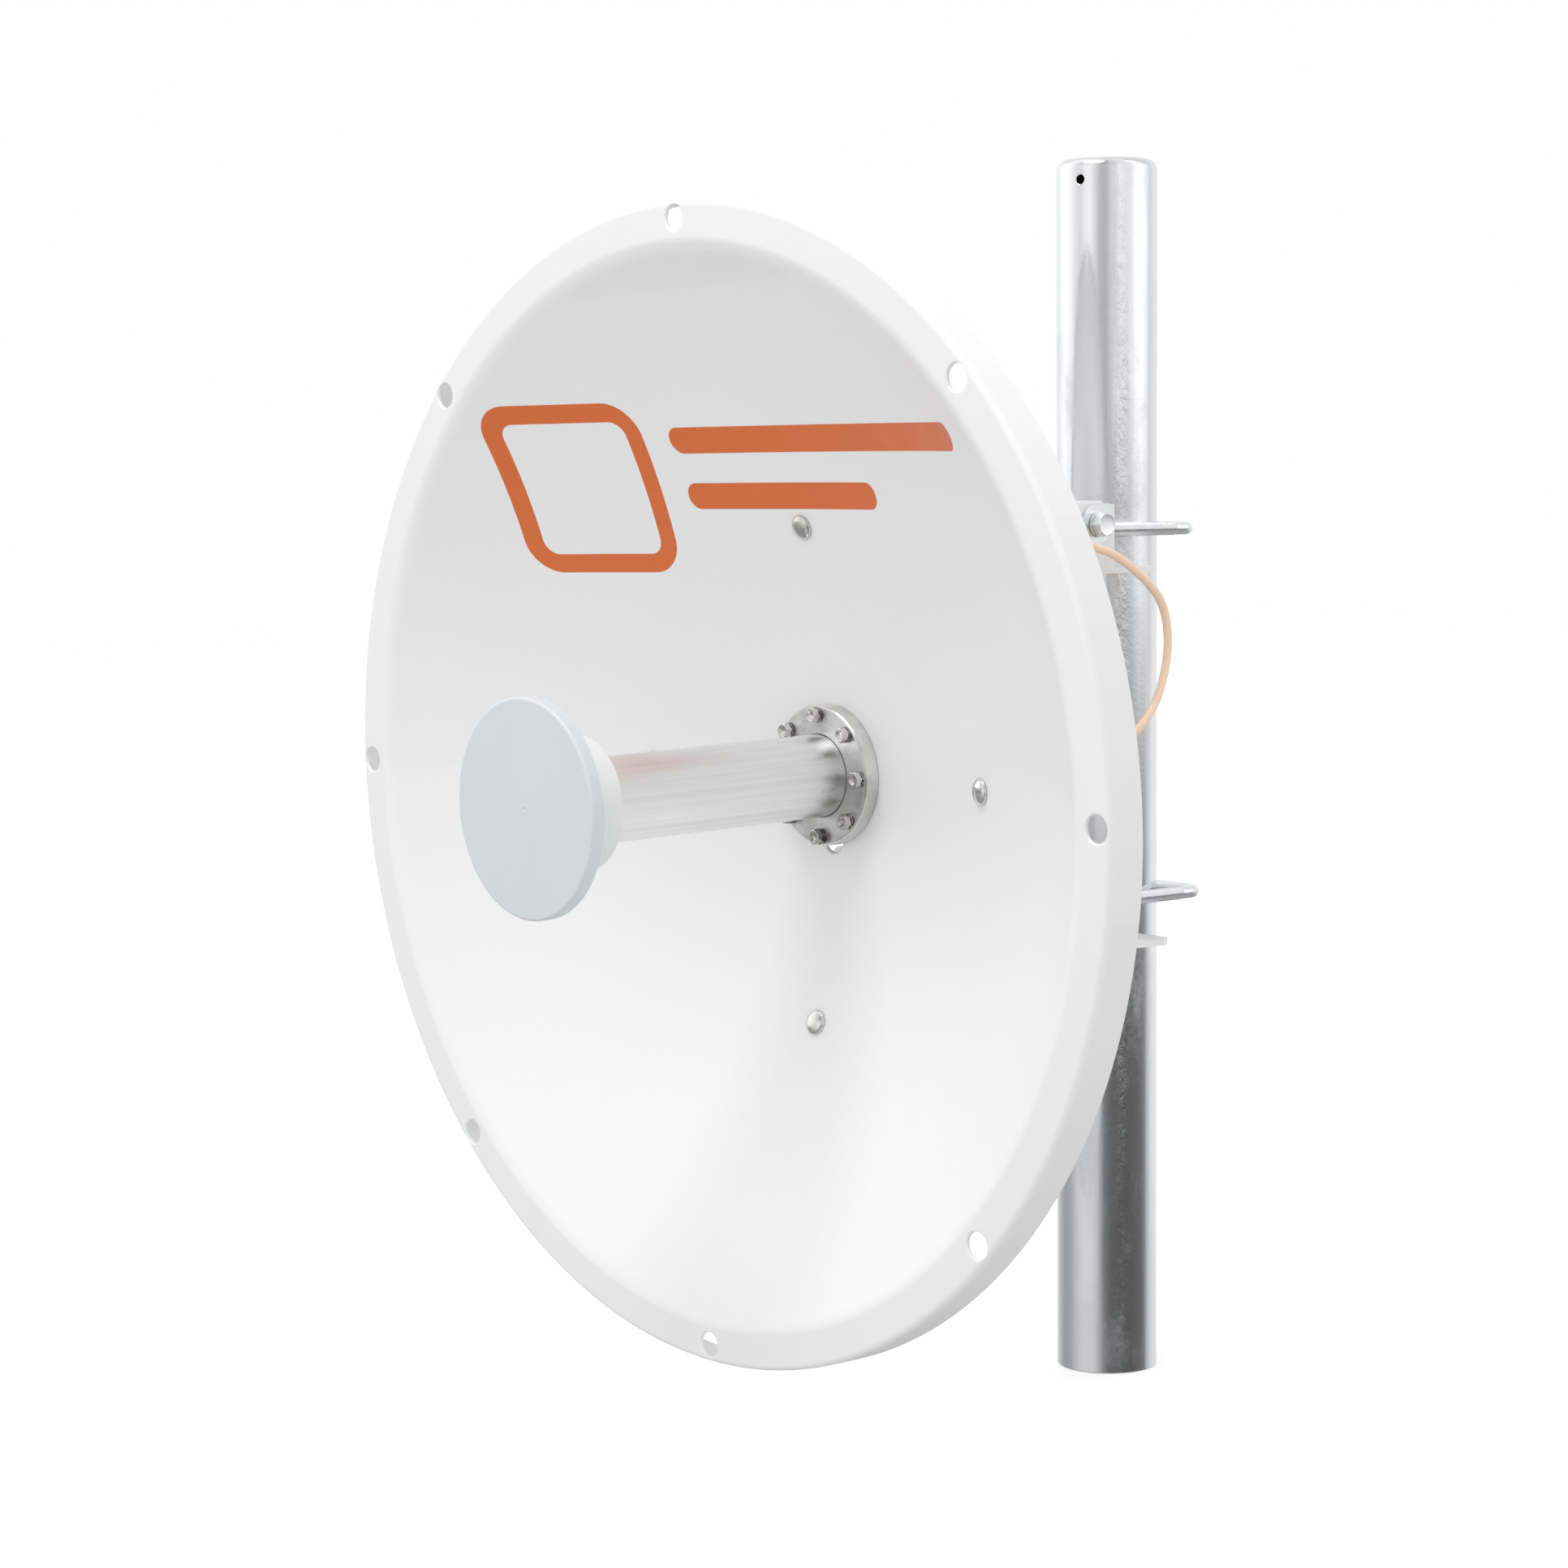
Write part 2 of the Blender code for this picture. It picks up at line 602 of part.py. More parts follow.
def make_dish_bracket(material, parent):
    """A hub with four arms that bolt to the bowl, and two pairs of ears for the clamps. The hub is
    a ring with its corners cut away beside the ears, where the lower clamp swings past."""
    hub = [(HUB_INNER, HUB_FRONT), (HUB_OUTER, HUB_FRONT), (HUB_OUTER, HUB_BACK), (HUB_INNER, HUB_BACK)]
    bracket = add_body("dish_bracket", placed(turned(hub, 48), ALONG_DEPTH), material, parent)
    arms = []
    for number in range(4):
        arm = prism(thickened(arm_path(), ARM_SHEET), -ARM_HALF_WIDTH, ARM_HALF_WIDTH)
        arms.append(placed(arm, about_dish_axis(90 * number)))
    root = HUB_BACK - 0.0018
    top = PIVOT_ABOVE_AXIS + 0.0125
    back = PIVOT_DEPTH + 0.0092
    upper = [(root, 0.022), (0.160, 0.040), (0.238, 0.112), (0.258, 0.119), (back, 0.124)]
    upper += [(back, top), (0.205, top), (0.150, 0.104), (root, 0.084)]
    lower = [(root, -0.056), (0.160, -0.060), (0.212, -0.0715)]
    lower += arc((LOCK_DEPTH, -LOCK_BELOW_AXIS), 0.0135, 70, -80, 5)
    lower += [(0.190, -0.097), (root, -0.084)]
    ears = []
    for outline in (upper, lower):
        ear = placed(prism(outline, EAR_OUTER - EAR_SHEET, EAR_OUTER), ALONG_X)
        ears += [ear, mirrored(ear)]
    reach = EAR_OUTER - 0.0001
    lid = box((-reach, 0.205, top - 0.001), (reach, back + 0.0004, top + 0.001))
    combine(bracket, "UNION", arms + ears + [lid])
    holes = []
    for number in range(4):
        holes.append(placed(rod(CARRIAGE_RADIUS + GAP, -0.02, 0.02, 12), carriage_seat(number)))
    for depth, height in ((PIVOT_DEPTH, PIVOT_ABOVE_AXIS), (LOCK_DEPTH, -LOCK_BELOW_AXIS)):
        hole = placed(rod(M8_RADIUS + GAP, 0.045, 0.060), ALONG_X, moved(0, depth, height))
        holes += [hole, mirrored(hole)]
    for low, high in ((-HUB_OUTER - 0.001, -HUB_WING), (HUB_WING, HUB_OUTER + 0.001)):
        corner = box(
            (EAR_OUTER + 0.0001, HUB_FRONT - 0.004, low),
            (HUB_OUTER + 0.001, HUB_BACK + 0.004, high),
        )
        holes += [corner, mirrored(corner)]
    cut(bracket, holes)


def make_transducer(materials, parent):
    """The waveguide block behind the bowl, with one port in use and one under a cap."""
    flange = [(0, TRANSDUCER_FRONT), (0.039, TRANSDUCER_FRONT), (0.039, TRANSDUCER_FRONT + 0.008)]
    flange += [(0.024, TRANSDUCER_FRONT + 0.0095), (0.024, BLOCK_FRONT + 0.002), (0, BLOCK_FRONT + 0.002)]
    body = placed(turned(flange, 40), ALONG_DEPTH)
    transducer = add_body("feed_transducer", body, materials["cast_aluminium"], parent)
    block = box((-BLOCK_HALF, BLOCK_FRONT, -BLOCK_HALF), (BLOCK_HALF, BLOCK_BACK, BLOCK_HALF))
    bmesh.ops.bevel(block, geom=block.edges, offset=0.002, segments=1, affect="EDGES")
    combine(transducer, "UNION", [block])
    cut(transducer, flange_bolt_holes(TRANSDUCER_FRONT - 0.002, FLANGE_BOLT_END + GAP))
    start = BLOCK_BACK + GAP
    port = [(0, start), (0.0088, start), (0.0088, start + 0.003), (0.0076, start + 0.003)]
    port += [(0.0076, start + 0.016), (0.0060, start + 0.016), (0.0060, start + 0.006)]
    port += [(0.0012, start + 0.006), (0.0012, start + 0.012), (0, start + 0.012)]
    body = placed(turned(port, 20), ALONG_DEPTH, moved(PORT_X, 0, PORT_ABOVE_AXIS))
    add_body("port_connector", body, materials["nickel"], parent)
    cap = [(0, start), (0.0088, start), (0.0088, start + 0.003), (0.0096, start + 0.003)]
    cap += [(0.0096, start + 0.017), (0.0085, start + 0.0185), (0, start + 0.0190)]
    body = placed(turned(cap, 20), ALONG_DEPTH, moved(-PORT_X, 0, -PORT_ABOVE_AXIS))
    add_body("port_cap", body, materials["cap_rubber"], parent)


def plug_body():
    """A cable plug with local +Z towards its cable, which it grips over its last 12 mm."""
    grip = CABLE_RADIUS + GAP
    profile = [(0.0079, 0), (0.0100, 0), (0.0100, 0.012), (0.0078, 0.0145), (0.0078, 0.018)]
    profile += [(0.0046, 0.020), (0.0046, 0.033), (grip, 0.033), (grip, 0.0195)]
    return turned(profile + [(0.0042, 0.0185), (0.0042, 0.0175), (0.0079, 0.0150)], 20)


def smooth_route(spacing):
    """Points along a smooth curve through the cable's route, about this far apart."""
    route = [Vector(point) for point in CABLE_ROUTE]
    padded = [2 * route[0] - route[1]] + route + [2 * route[-1] - route[-2]]
    fine = []
    for before, start, end, after in zip(padded, padded[1:], padded[2:], padded[3:]):
        for step in range(24):
            t = step / 24
            bend = 2 * before - 5 * start + 4 * end - after
            twist = 3 * start - before - 3 * end + after
            fine.append(start + 0.5 * (t * (end - before) + t**2 * bend + t**3 * twist))
    points = [fine[0]]
    for point in fine:
        if (point - points[-1]).length >= spacing:
            points.append(point)
    return points + [route[-1]]


def make_cable(materials, parent):
    curve = bpy.data.curves.new("jumper_cable", "CURVE")
    curve.dimensions = "3D"
    curve.bevel_depth = CABLE_RADIUS
    curve.bevel_resolution = 2
    curve.use_fill_caps = True
    curve.render_resolution_u = 0
    curve.materials.append(materials["cable_braid"])
    points = smooth_route(0.008)
    spline = curve.splines.new("POLY")
    spline.points.add(len(points) - 1)
    for slot, point in zip(spline.points, points):
        slot.co = (*point, 1)
    cable = bpy.data.objects.new("jumper_cable", curve)
    cable.parent = parent
    cable.location = parent["frame_origin"]
    bpy.context.scene.collection.objects.link(cable)
    nickel = materials["nickel"]
    first = placed(plug_body(), ALONG_DEPTH, moved(PORT_X, PLUG_START, PORT_ABOVE_AXIS))
    add_body("jumper_plug_port", first, nickel, parent)
    end = Vector(CABLE_ROUTE[-1])
    last = placed(plug_body(), ALONG_DEPTH, moved(end.x, end.y - 0.0195 - GAP, end.z))
    add_body("jumper_plug_free", last, nickel, parent)
    grip = CABLE_RADIUS + GAP
    ring = [(grip, -0.004), (grip + 0.0015, -0.004), (grip + 0.0015, 0.004), (grip, 0.004)]
    body = placed(turned(ring, 20), ALONG_DEPTH, moved(end.x, CLIP_DEPTH, end.z))
    clip = add_body("cable_clip", body, materials["clip_plastic"], parent)
    foot = box(
        (EAR_OUTER + GAP, CLIP_DEPTH - 0.0035, end.z - 0.0025),
        (end.x - grip - 0.0003, CLIP_DEPTH + 0.0035, end.z + 0.0025),
    )
    combine(clip, "UNION", [foot])


def make_materials():
    recipes = {
        "galvanised": ((0.52, 0.54, 0.56), 0.9, 0.42),
        "dish_paint": ((0.82, 0.82, 0.82), 0.0, 0.45),
        "bracket_paint": ((0.78, 0.79, 0.80), 0.0, 0.45),
        "zinc_plate": ((0.55, 0.58, 0.62), 1.0, 0.32),
        "stainless": ((0.50, 0.49, 0.47), 1.0, 0.30),
        "tube_aluminium": ((0.48, 0.48, 0.47), 1.0, 0.38),
        "cast_aluminium": ((0.55, 0.55, 0.55), 0.9, 0.50),
        "disc_plastic": ((0.62, 0.68, 0.71), 0.0, 0.50),
        "collar_plastic": ((0.80, 0.80, 0.79), 0.0, 0.50),
        "nickel": ((0.60, 0.58, 0.54), 1.0, 0.25),
        "cable_braid": ((0.45, 0.31, 0.21), 0.3, 0.55),
        "clip_plastic": ((0.05, 0.05, 0.05), 0.0, 0.60),
        "cap_rubber": ((0.04, 0.04, 0.04), 0.0, 0.75),
    }
    return {name: make_material(name, *recipe) for name, recipe in recipes.items()}


def main():
    clear_scene()
    materials = make_materials()
    azimuth = add_empty("azimuth_axis", (0, 0, 0))
    elevation = add_empty("elevation_axis", (0, PIVOT_Y, PIVOT_HEIGHT), azimuth)
    elevation.rotation_euler = (AIM_DOWN, 0, 0)
    elevation["frame_origin"] = (0, -PIVOT_DEPTH, -PIVOT_ABOVE_AXIS)
    base = add_empty("mast_foot", (0, 0, 0))
    make_mast(materials["galvanised"], base)
    make_mount(materials, azimuth)
    make_cross_bolts("pivot", PIVOT_Y, PIVOT_HEIGHT, materials["zinc_plate"], azimuth)
    make_reflector(materials["dish_paint"], elevation)
    make_feed(materials, elevation)
    make_flange_bolts(materials["stainless"], elevation)
    make_carriage_bolts(materials["zinc_plate"], elevation)
    make_dish_bracket(materials["bracket_paint"], elevation)
    make_cross_bolts("lock", LOCK_DEPTH, -LOCK_BELOW_AXIS, materials["zinc_plate"], elevation)
    make_transducer(materials, elevation)
    make_cable(materials, elevation)


main()
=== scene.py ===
"""The looks of a two-foot parabolic dish antenna held on a length of round mast.

Lengths are in metres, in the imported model's frame: the origin is the centre of the mast's cut foot,
+Z runs up the mast and the dish looks along -Y. The dish and all that tilts with it are laid out in
the dish frame, as in the part: its origin is the centre of the rim, +Y runs back along the dish's
axis, and depths are measured along +Y. Each piece stands for the CAD node of the same name.
"""

import json
import math

import bmesh
import bpy
from mathutils import Matrix, Vector


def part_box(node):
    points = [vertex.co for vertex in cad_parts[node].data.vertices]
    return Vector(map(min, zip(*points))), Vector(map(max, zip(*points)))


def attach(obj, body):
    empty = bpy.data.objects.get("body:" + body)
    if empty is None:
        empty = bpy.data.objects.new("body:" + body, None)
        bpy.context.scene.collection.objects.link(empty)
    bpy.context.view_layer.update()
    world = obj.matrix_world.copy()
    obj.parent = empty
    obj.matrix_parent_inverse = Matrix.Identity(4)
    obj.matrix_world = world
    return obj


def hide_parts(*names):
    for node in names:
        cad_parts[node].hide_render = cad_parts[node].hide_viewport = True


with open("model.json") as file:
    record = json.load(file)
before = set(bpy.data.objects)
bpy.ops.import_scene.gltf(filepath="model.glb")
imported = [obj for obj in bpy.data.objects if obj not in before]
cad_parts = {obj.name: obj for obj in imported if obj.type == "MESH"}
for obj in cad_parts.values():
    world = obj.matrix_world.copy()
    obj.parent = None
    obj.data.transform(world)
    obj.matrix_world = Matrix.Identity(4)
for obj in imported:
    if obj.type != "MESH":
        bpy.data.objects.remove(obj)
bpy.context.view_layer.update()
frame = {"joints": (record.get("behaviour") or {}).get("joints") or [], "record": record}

GAP = 0.0003
SLIVER = 0.000004

MAST_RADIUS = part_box("mast_pipe")[1].x
MAST_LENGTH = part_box("mast_pipe")[1].z
MAST_WALL = 0.0036
VENT_HEIGHT = 0.7169
VENT_BEARING = math.radians(13.1)
VENT_RADIUS = 0.00275
MAST_TOP_CORNER = 0.006
WELD_BEARING = math.radians(-28)

PIVOT = Vector(frame["joints"][1]["pos_m"])
AIM_DOWN = math.radians(1.57)
PIVOT_DEPTH = 0.2598
PIVOT_ABOVE_AXIS = 0.1347

BOWL_DEPTH = 0.103788
BOWL_SQUARE = 0.86145
BOWL_FOURTH = 3.653
DISH_SHEET = 0.002
SEAT_RADIUS = 0.040
LIP_START = 0.2915
LIP_CORNER = 0.2963
LIP_END = 0.3008
RIM_RADIUS = 0.3204
RIM_CORNER = 0.0033
SKIRT_RADIUS = 0.3209
SKIRT_BACK = 0.0220
FEED_HOLE_RADIUS = 0.026
DRAIN_HOLE_RADIUS = 0.008
DRAIN_HOLE_BELOW = 0.037
RIM_HOLE_RADIUS = 0.0073
RIM_HOLE_CIRCLE = 0.3107
RIM_HOLES = 8

TUBE_RADIUS = 0.0235
TUBE_WALL = 0.002
TUBE_START = -0.098
TUBE_END = 0.1043
FLANGE_RADIUS = 0.0399
FLANGE_FRONT = 0.0924
FLANGE_BACK = 0.1021
FLANGE_BOLT_CIRCLE = 0.0345
FLANGE_BOLT_RADIUS = 0.0025
FLANGE_BOLT_HEAD = 0.0036
FLANGE_BOLT_CORNER = 0.00462
FLANGE_BOLT_END = 0.1108
FLANGE_BOLTS = 8
FLANGE_WASHER_SHEET = 0.0012
FLANGE_WASHER_RADIUS = 0.0045
DISC_RADIUS = 0.0596
DISC_FRONT = -0.1139
DISC_BACK = -0.1058
COLLAR_RADIUS = 0.037
COLLAR_BACK = -0.075

CARRIAGE_CIRCLE = 0.1402
CARRIAGE_RADIUS = 0.003
CARRIAGE_HEAD_RADIUS = 0.0073
CARRIAGE_DOME = 0.0027
CARRIAGE_NUT_CORNER = 0.0057
CARRIAGE_NUT_HEIGHT = 0.005
CARRIAGE_PLACES = ("top", "right", "bottom", "left")
HUB_FRONT = 0.1137
HUB_BACK = 0.1173
HUB_INNER = 0.050
HUB_OUTER = 0.100
HUB_WING = 0.020
ARM_SHEET = 0.003
ARM_HALF_WIDTH = 0.018
EAR_OUTER = 0.0532
EAR_SHEET = 0.0028
LOCK_DEPTH = 0.2137
LOCK_BELOW_AXIS = 0.0854

CLAMP_OUTER = 0.057
CLAMP_SHEET = 0.0035
CLAMP_BEND = 0.0045
CLAMP_BACK = -0.0490
CLAMP_HEIGHT = 0.0402
UPPER_CLAMP_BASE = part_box("upper_clamp")[0].z
LOWER_CLAMP_BASE = 0.2639
SADDLE_HALF_WIDTH = 0.024
SADDLE_BACK = -0.0215
UPPER_FORK_BACK = -0.0095
LOWER_FORK_BACK = 0.0005
UPPER_U_BOLT_RISE = 0.0250
LOWER_U_BOLT_RISE = 0.0272
FORK_CORNER = 0.012
U_BOLT_LEG_X = 0.038
U_BOLT_BACK = 0.0345
U_BOLT_TIP = -0.0685
U_BOLT_BEND = 0.009
U_BOLT_PLAIN_END = 0.0165
U_BOLT_WASHER_RADIUS = 0.0076
LOWER_U_BOLT_SLACK = 0.006
M8_RADIUS = 0.004
M8_PITCH = 0.00125
M8_THREAD_DEPTH = 0.0005
M8_CORNER = 0.0075
M8_NUT_HEIGHT = 0.0065
M8_HEAD_HEIGHT = 0.0053
M8_WASHER_RADIUS = 0.012
M8_WASHER_SHEET = 0.0018
SPRING_WASHER_RADIUS = 0.0072
CROSS_BOLT_LENGTH = 0.0168
TILT_UP = math.radians(15)
TILT_DOWN = math.radians(10)

TRANSDUCER_FRONT = 0.1047
BLOCK_FRONT = 0.128
BLOCK_BACK = 0.168
BLOCK_HALF = 0.028
PORT_X = 0.014
PORT_ABOVE_AXIS = 0.012
PLUG_START = 0.1745
PLUG_GRIP = 0.0195
CABLE_RADIUS = 0.0025
CLIP_DEPTH = 0.206
CABLE_ROUTE = (
    (0.0140, 0.2000, 0.0120),
    (0.0140, 0.2120, 0.0120),
    (0.0190, 0.2290, 0.0100),
    (0.0330, 0.2430, 0.0050),
    (0.0500, 0.2520, 0.0015),
    (0.0640, 0.2620, 0.0040),
    (0.0715, 0.2749, 0.0139),
    (0.0722, 0.2902, 0.0287),
    (0.0720, 0.2987, 0.0448),
    (0.0720, 0.3025, 0.0613),
    (0.0720, 0.3018, 0.0770),
    (0.0720, 0.2965, 0.0900),
    (0.0720, 0.2876, 0.0992),
    (0.0720, 0.2773, 0.1070),
    (0.0720, 0.2609, 0.1167),
    (0.0714, 0.2410, 0.1237),
    (0.0674, 0.2265, 0.1288),
    (0.0643, 0.2150, 0.1308),
    (0.0640, 0.2040, 0.1310),
    (0.0640, 0.1850, 0.1310),
)

MARK_SQUARE = (-0.152, 0.163)
MARK_SQUARE_HALF = 0.044
MARK_SQUARE_CORNER = 0.014
MARK_LINE_HALF = 0.0055
MARK_BARS = ((-0.084, 0.190, 0.190, 0.0075), (-0.084, 0.075, 0.158, 0.0075))

CAMERA_PLACE = Vector((1.54881, -1.57445, 0.54565))
CAMERA_YAW = math.radians(49.61)
CAMERA_DOWN = math.radians(4.885)
CAMERA_ROLL = math.radians(-0.434)
CAMERA_LENS = 83.68

LIGHT_PLACE = (-0.05, -1.0, 2.5)
LIGHT_TARGET = (0, -0.25, 0.4)
LIGHT_SIZE = (1.15, 0.7)
LIGHT_POWER = 21

# The room that shining surfaces see. Its tone goes by bearing in degrees, where 0 is +X and 90 is
# +Y, at eye level and below it, and is DEEP_TONE further down. Each FADE is where one gives way to
# the next, as the sine of the height. RISE and RISE_SOFT run from straight down at 0 to straight
# up at 1, and RISE_SOFT is the light that matt surfaces gather.
ROOM_STRENGTH = 2.0
AROUND = {
    -180: 0.64, -158: 0.80, -138: 0.70, -122: 0.54, -109: 0.50, -97: 0.60, -84: 0.64, -74: 0.52,
    -61: 0.34, -48: 0.32, -36: 0.44, -15: 0.66, 0: 0.56, 9: 0.54, 22: 0.72, 36: 0.84, 52: 0.72,
    68: 0.48, 85: 0.54, 130: 0.58, 165: 0.60, 180: 0.64,
}
AROUND_BELOW = {
    -180: 0.42, -160: 0.30, -138: 0.34, -120: 0.50, -100: 0.60, -80: 0.58, -66: 0.44, -52: 0.16,
    -38: 0.10, -15: 0.08, 9: 0.08, 36: 0.11, 50: 0.17, 62: 0.42, 80: 0.66, 130: 0.66, 165: 0.54,
    180: 0.42,
}
BELOW_FADE = (0.03, -0.14)
DEEP_TONE = 0.44
DEEP_FADE = (-0.30, -0.55)
RISE = {0.0: 0.42, 0.26: 0.44, 0.38: 0.62, 0.50: 0.80, 0.60: 0.88, 0.80: 0.74, 1.0: 0.74}
RISE_SOFT = {0.0: 0.66, 0.42: 0.97, 0.50: 1.18, 0.60: 1.12, 0.80: 0.80, 1.0: 0.68}

ALONG_DEPTH = Matrix.Rotation(-math.pi / 2, 4, "X")
ALONG_X = Matrix(((0, 0, 1, 0), (1, 0, 0, 0), (0, 1, 0, 0), (0, 0, 0, 1)))
DISH_FRAME = (
    Matrix.Translation(PIVOT)
    @ Matrix.Rotation(AIM_DOWN, 4, "X")
    @ Matrix.Translation((0, -PIVOT_DEPTH, -PIVOT_ABOVE_AXIS))
)
BODY_OF = {
    node: body
    for body, nodes in frame["record"]["behaviour"]["bodies"].items()
    for node in nodes
}
SLOT_OF = {row["node"]: row["material_slot"] for row in frame["record"]["subparts"]}
FINISHES_OF = {"reflector": ["dish_paint", "printed_paint"]}
for place in CARRIAGE_PLACES:
    FINISHES_OF[f"carriage_bolt_{place}"] = ["bright_zinc"]
for number in range(1, FLANGE_BOLTS + 1):
    FINISHES_OF[f"flange_bolt_{number}"] = ["bolt_steel"]
    FINISHES_OF[f"flange_washer_{number}"] = ["washer_steel"]
MATERIALS = {}


# Shapes


def hexed(corner, limit=1.0):
    """A ring that is a hexagon with this corner radius, or a circle where limit is less."""

    def reach(angle):
        flat = math.cos(math.pi / 6) / math.cos(angle % (math.pi / 3) - math.pi / 6)
        return min(limit, corner * flat)

    return reach


def ribbed(radius, depth, count):
    """A ring with this many rounded grooves round it."""
    return lambda angle: radius - depth * (0.5 - 0.5 * math.cos(count * angle))


def bridge(bm, first, second):
    """The faces between two rings of vertices, either of which may be a single point."""
    faces = []
    count = max(len(first), len(second))
    for step in range(count):
        after = (step + 1) % count
        corners = [first[step % len(first)], first[after % len(first)]]
        corners += [second[after % len(second)], second[step % len(second)]]
        corners = list(dict.fromkeys(corners))
        if len(corners) > 2:
            faces.append(bm.faces.new(corners))
    return faces


def closed(bm, *ends):
    """The body with these rings capped and every face turned outwards."""
    for ring in ends:
        bm.faces.new(ring)
    bmesh.ops.recalc_face_normals(bm, faces=bm.faces)
    return bm


def turned(profile, steps, marked=0):
    """A body turned about local Z from a closed loop of (radius, height), where the radius may be
    a function of the angle. The first faces along the loop, marked of them, take the second
    material."""
    bm = bmesh.new()
    rings = []
    for radius, height in profile:
        if radius == 0:
            rings.append([bm.verts.new((0, 0, height))])
            continue
        ring = []
        for step in range(steps):
            angle = 2 * math.pi * step / steps
            reach = radius(angle) if callable(radius) else radius
            ring.append(bm.verts.new((reach * math.cos(angle), reach * math.sin(angle), height)))
        rings.append(ring)
    for number, (first, second) in enumerate(zip(rings, rings[1:] + rings[:1])):
        for face in bridge(bm, first, second):
            face.material_index = int(number < marked)
    return closed(bm)


def rod(radius, low, high, steps=48):
    return turned([(0, low), (radius, low), (radius, high), (0, high)], steps)


def flared_hole(radius, front, back, flare, steps=48):
    """A cutter for a hole whose front edge, at height front, is rounded off by flare."""
    wide = radius + flare * 1.6
    profile = [(0, front - 0.004), (wide, front - 0.004), (wide, front - 0.0001)]
    profile += [(radius + flare * 0.9, front + flare * 0.12)]
    profile += [(radius + flare * 0.35, front + flare * 0.45)]
    return turned(profile + [(radius, front + flare), (radius, back), (0, back)], steps)


def prism(outline, low, high):
    """The outline in local XY, raised along local Z from low to high."""
    bm = bmesh.new()
    base = [bm.verts.new((x, y, low)) for x, y in outline]
    top = [bm.verts.new((x, y, high)) for x, y in outline]
    bm.faces.new(base)
    bm.faces.new(top)
    bridge(bm, base, top)
    return closed(bm)


def box(low, high):
    corners = [(low[0], low[1]), (high[0], low[1]), (high[0], high[1]), (low[0], high[1])]
    return prism(corners, low[2], high[2])


def tube(points, radius, sides, layer=None):
    """A round bar along the points. The radius may be a function of the length along the bar and
    the angle round it. A named UV layer, if asked for, holds the turn and the length."""
    bm = bmesh.new()
    points = [Vector(point) for point in points]
    uv = bm.loops.layers.uv.new(layer) if layer else None
    side = (points[1] - points[0]).orthogonal().normalized()
    rings, lengths, along = [], [], 0.0
    for index, point in enumerate(points):
        ahead = points[min(index + 1, len(points) - 1)] - points[max(index - 1, 0)]
        ahead.normalize()
        side = (side - ahead * side.dot(ahead)).normalized()
        across = ahead.cross(side)
        along += (point - points[index - 1]).length if index else 0.0
        ring = []
        for step in range(sides):
            angle = 2 * math.pi * step / sides
            reach = radius(along, angle) if callable(radius) else radius
            offset = side * math.cos(angle) + across * math.sin(angle)
            ring.append(bm.verts.new(point + offset * reach))
        rings.append(ring)
        lengths.append(along)
    for number, (first, second) in enumerate(zip(rings, rings[1:])):
        for step, face in enumerate(bridge(bm, first, second)):
            if uv:
                for loop, (turn, end) in zip(face.loops, ((0, 0), (1, 0), (1, 1), (0, 1))):
                    loop[uv].uv = ((step + turn) / sides, lengths[number + end])
    return closed(bm, rings[0], rings[-1])


def length_of(points):
    return sum((end - start).length for start, end in zip(points, points[1:]))


def thickened(path, thickness):
    """The closed outline of a bent sheet: out along the path, and back at its left side."""
    far_side = []
    for index, point in enumerate(path):
        normals = []
        starts, ends = path[max(index - 1, 0) : index + 1], path[max(index, 1) : index + 2]
        for first, second in zip(starts, ends):
            run, rise = second[0] - first[0], second[1] - first[1]
            length = math.hypot(run, rise)
            normals.append((-rise / length, run / length))
        lean = 1 + (normals[0][0] * normals[-1][0] + normals[0][1] * normals[-1][1])
        shift = [(normals[0][axis] + normals[-1][axis]) / lean * thickness for axis in (0, 1)]
        far_side.append((point[0] + shift[0], point[1] + shift[1]))
    return list(path) + far_side[::-1]


def raised(base, *rings):
    """The rings with the base added to their heights."""
    return [(radius, base + height) for radius, height in rings]


def arc(centre, radius, start, end, count):
    """Points on a circle from start to end, in degrees."""
    angles = [math.radians(start + (end - start) * step / count) for step in range(count + 1)]
    return [(centre[0] + radius * math.cos(a), centre[1] + radius * math.sin(a)) for a in angles]


def eased(start, corner, end, count):
    """Points on the smooth bend from start to end that the corner pulls outwards."""
    points = []
    for step in range(count + 1):
        t = step / count
        parts = (((1 - t) ** 2, start), (2 * t * (1 - t), corner), (t**2, end))
        points.append(tuple(sum(share * spot[axis] for share, spot in parts) for axis in (0, 1)))
    return points


def both_sides(path):
    """The path on +X, and then back along its mirror image."""
    return path + [(-x, y) for x, y in reversed(path)]


def mirrored(bm):
    """The same body on the other side of the YZ plane."""
    copy = bm.copy()
    bmesh.ops.scale(copy, vec=(-1, 1, 1), verts=copy.verts)
    bmesh.ops.reverse_faces(copy, faces=copy.faces)
    return copy


def placed(bm, *matrices):
    """The body after each matrix in turn."""
    for matrix in matrices:
        bmesh.ops.transform(bm, matrix=matrix, verts=bm.verts)
    return bm


def moved(x, y, z):
    return Matrix.Translation((x, y, z))


def about_dish_axis(degrees):
    """A turn about the dish's axis. A point above the axis moves towards +X."""
    return Matrix.Rotation(math.radians(degrees), 4, "Y")


def joined(solids):
    whole = bmesh.new()
    for solid in solids:
        mesh = bpy.data.meshes.new("joined")
        solid.to_mesh(mesh)
        solid.free()
        whole.from_mesh(mesh)
        bpy.data.meshes.remove(mesh)
    return whole


# Pieces


def new_object(name, bm):
    mesh = bpy.data.meshes.new(name)
    bm.to_mesh(mesh)
    bm.free()
    obj = bpy.data.objects.new(name, mesh)
    bpy.context.scene.collection.objects.link(obj)
    return obj


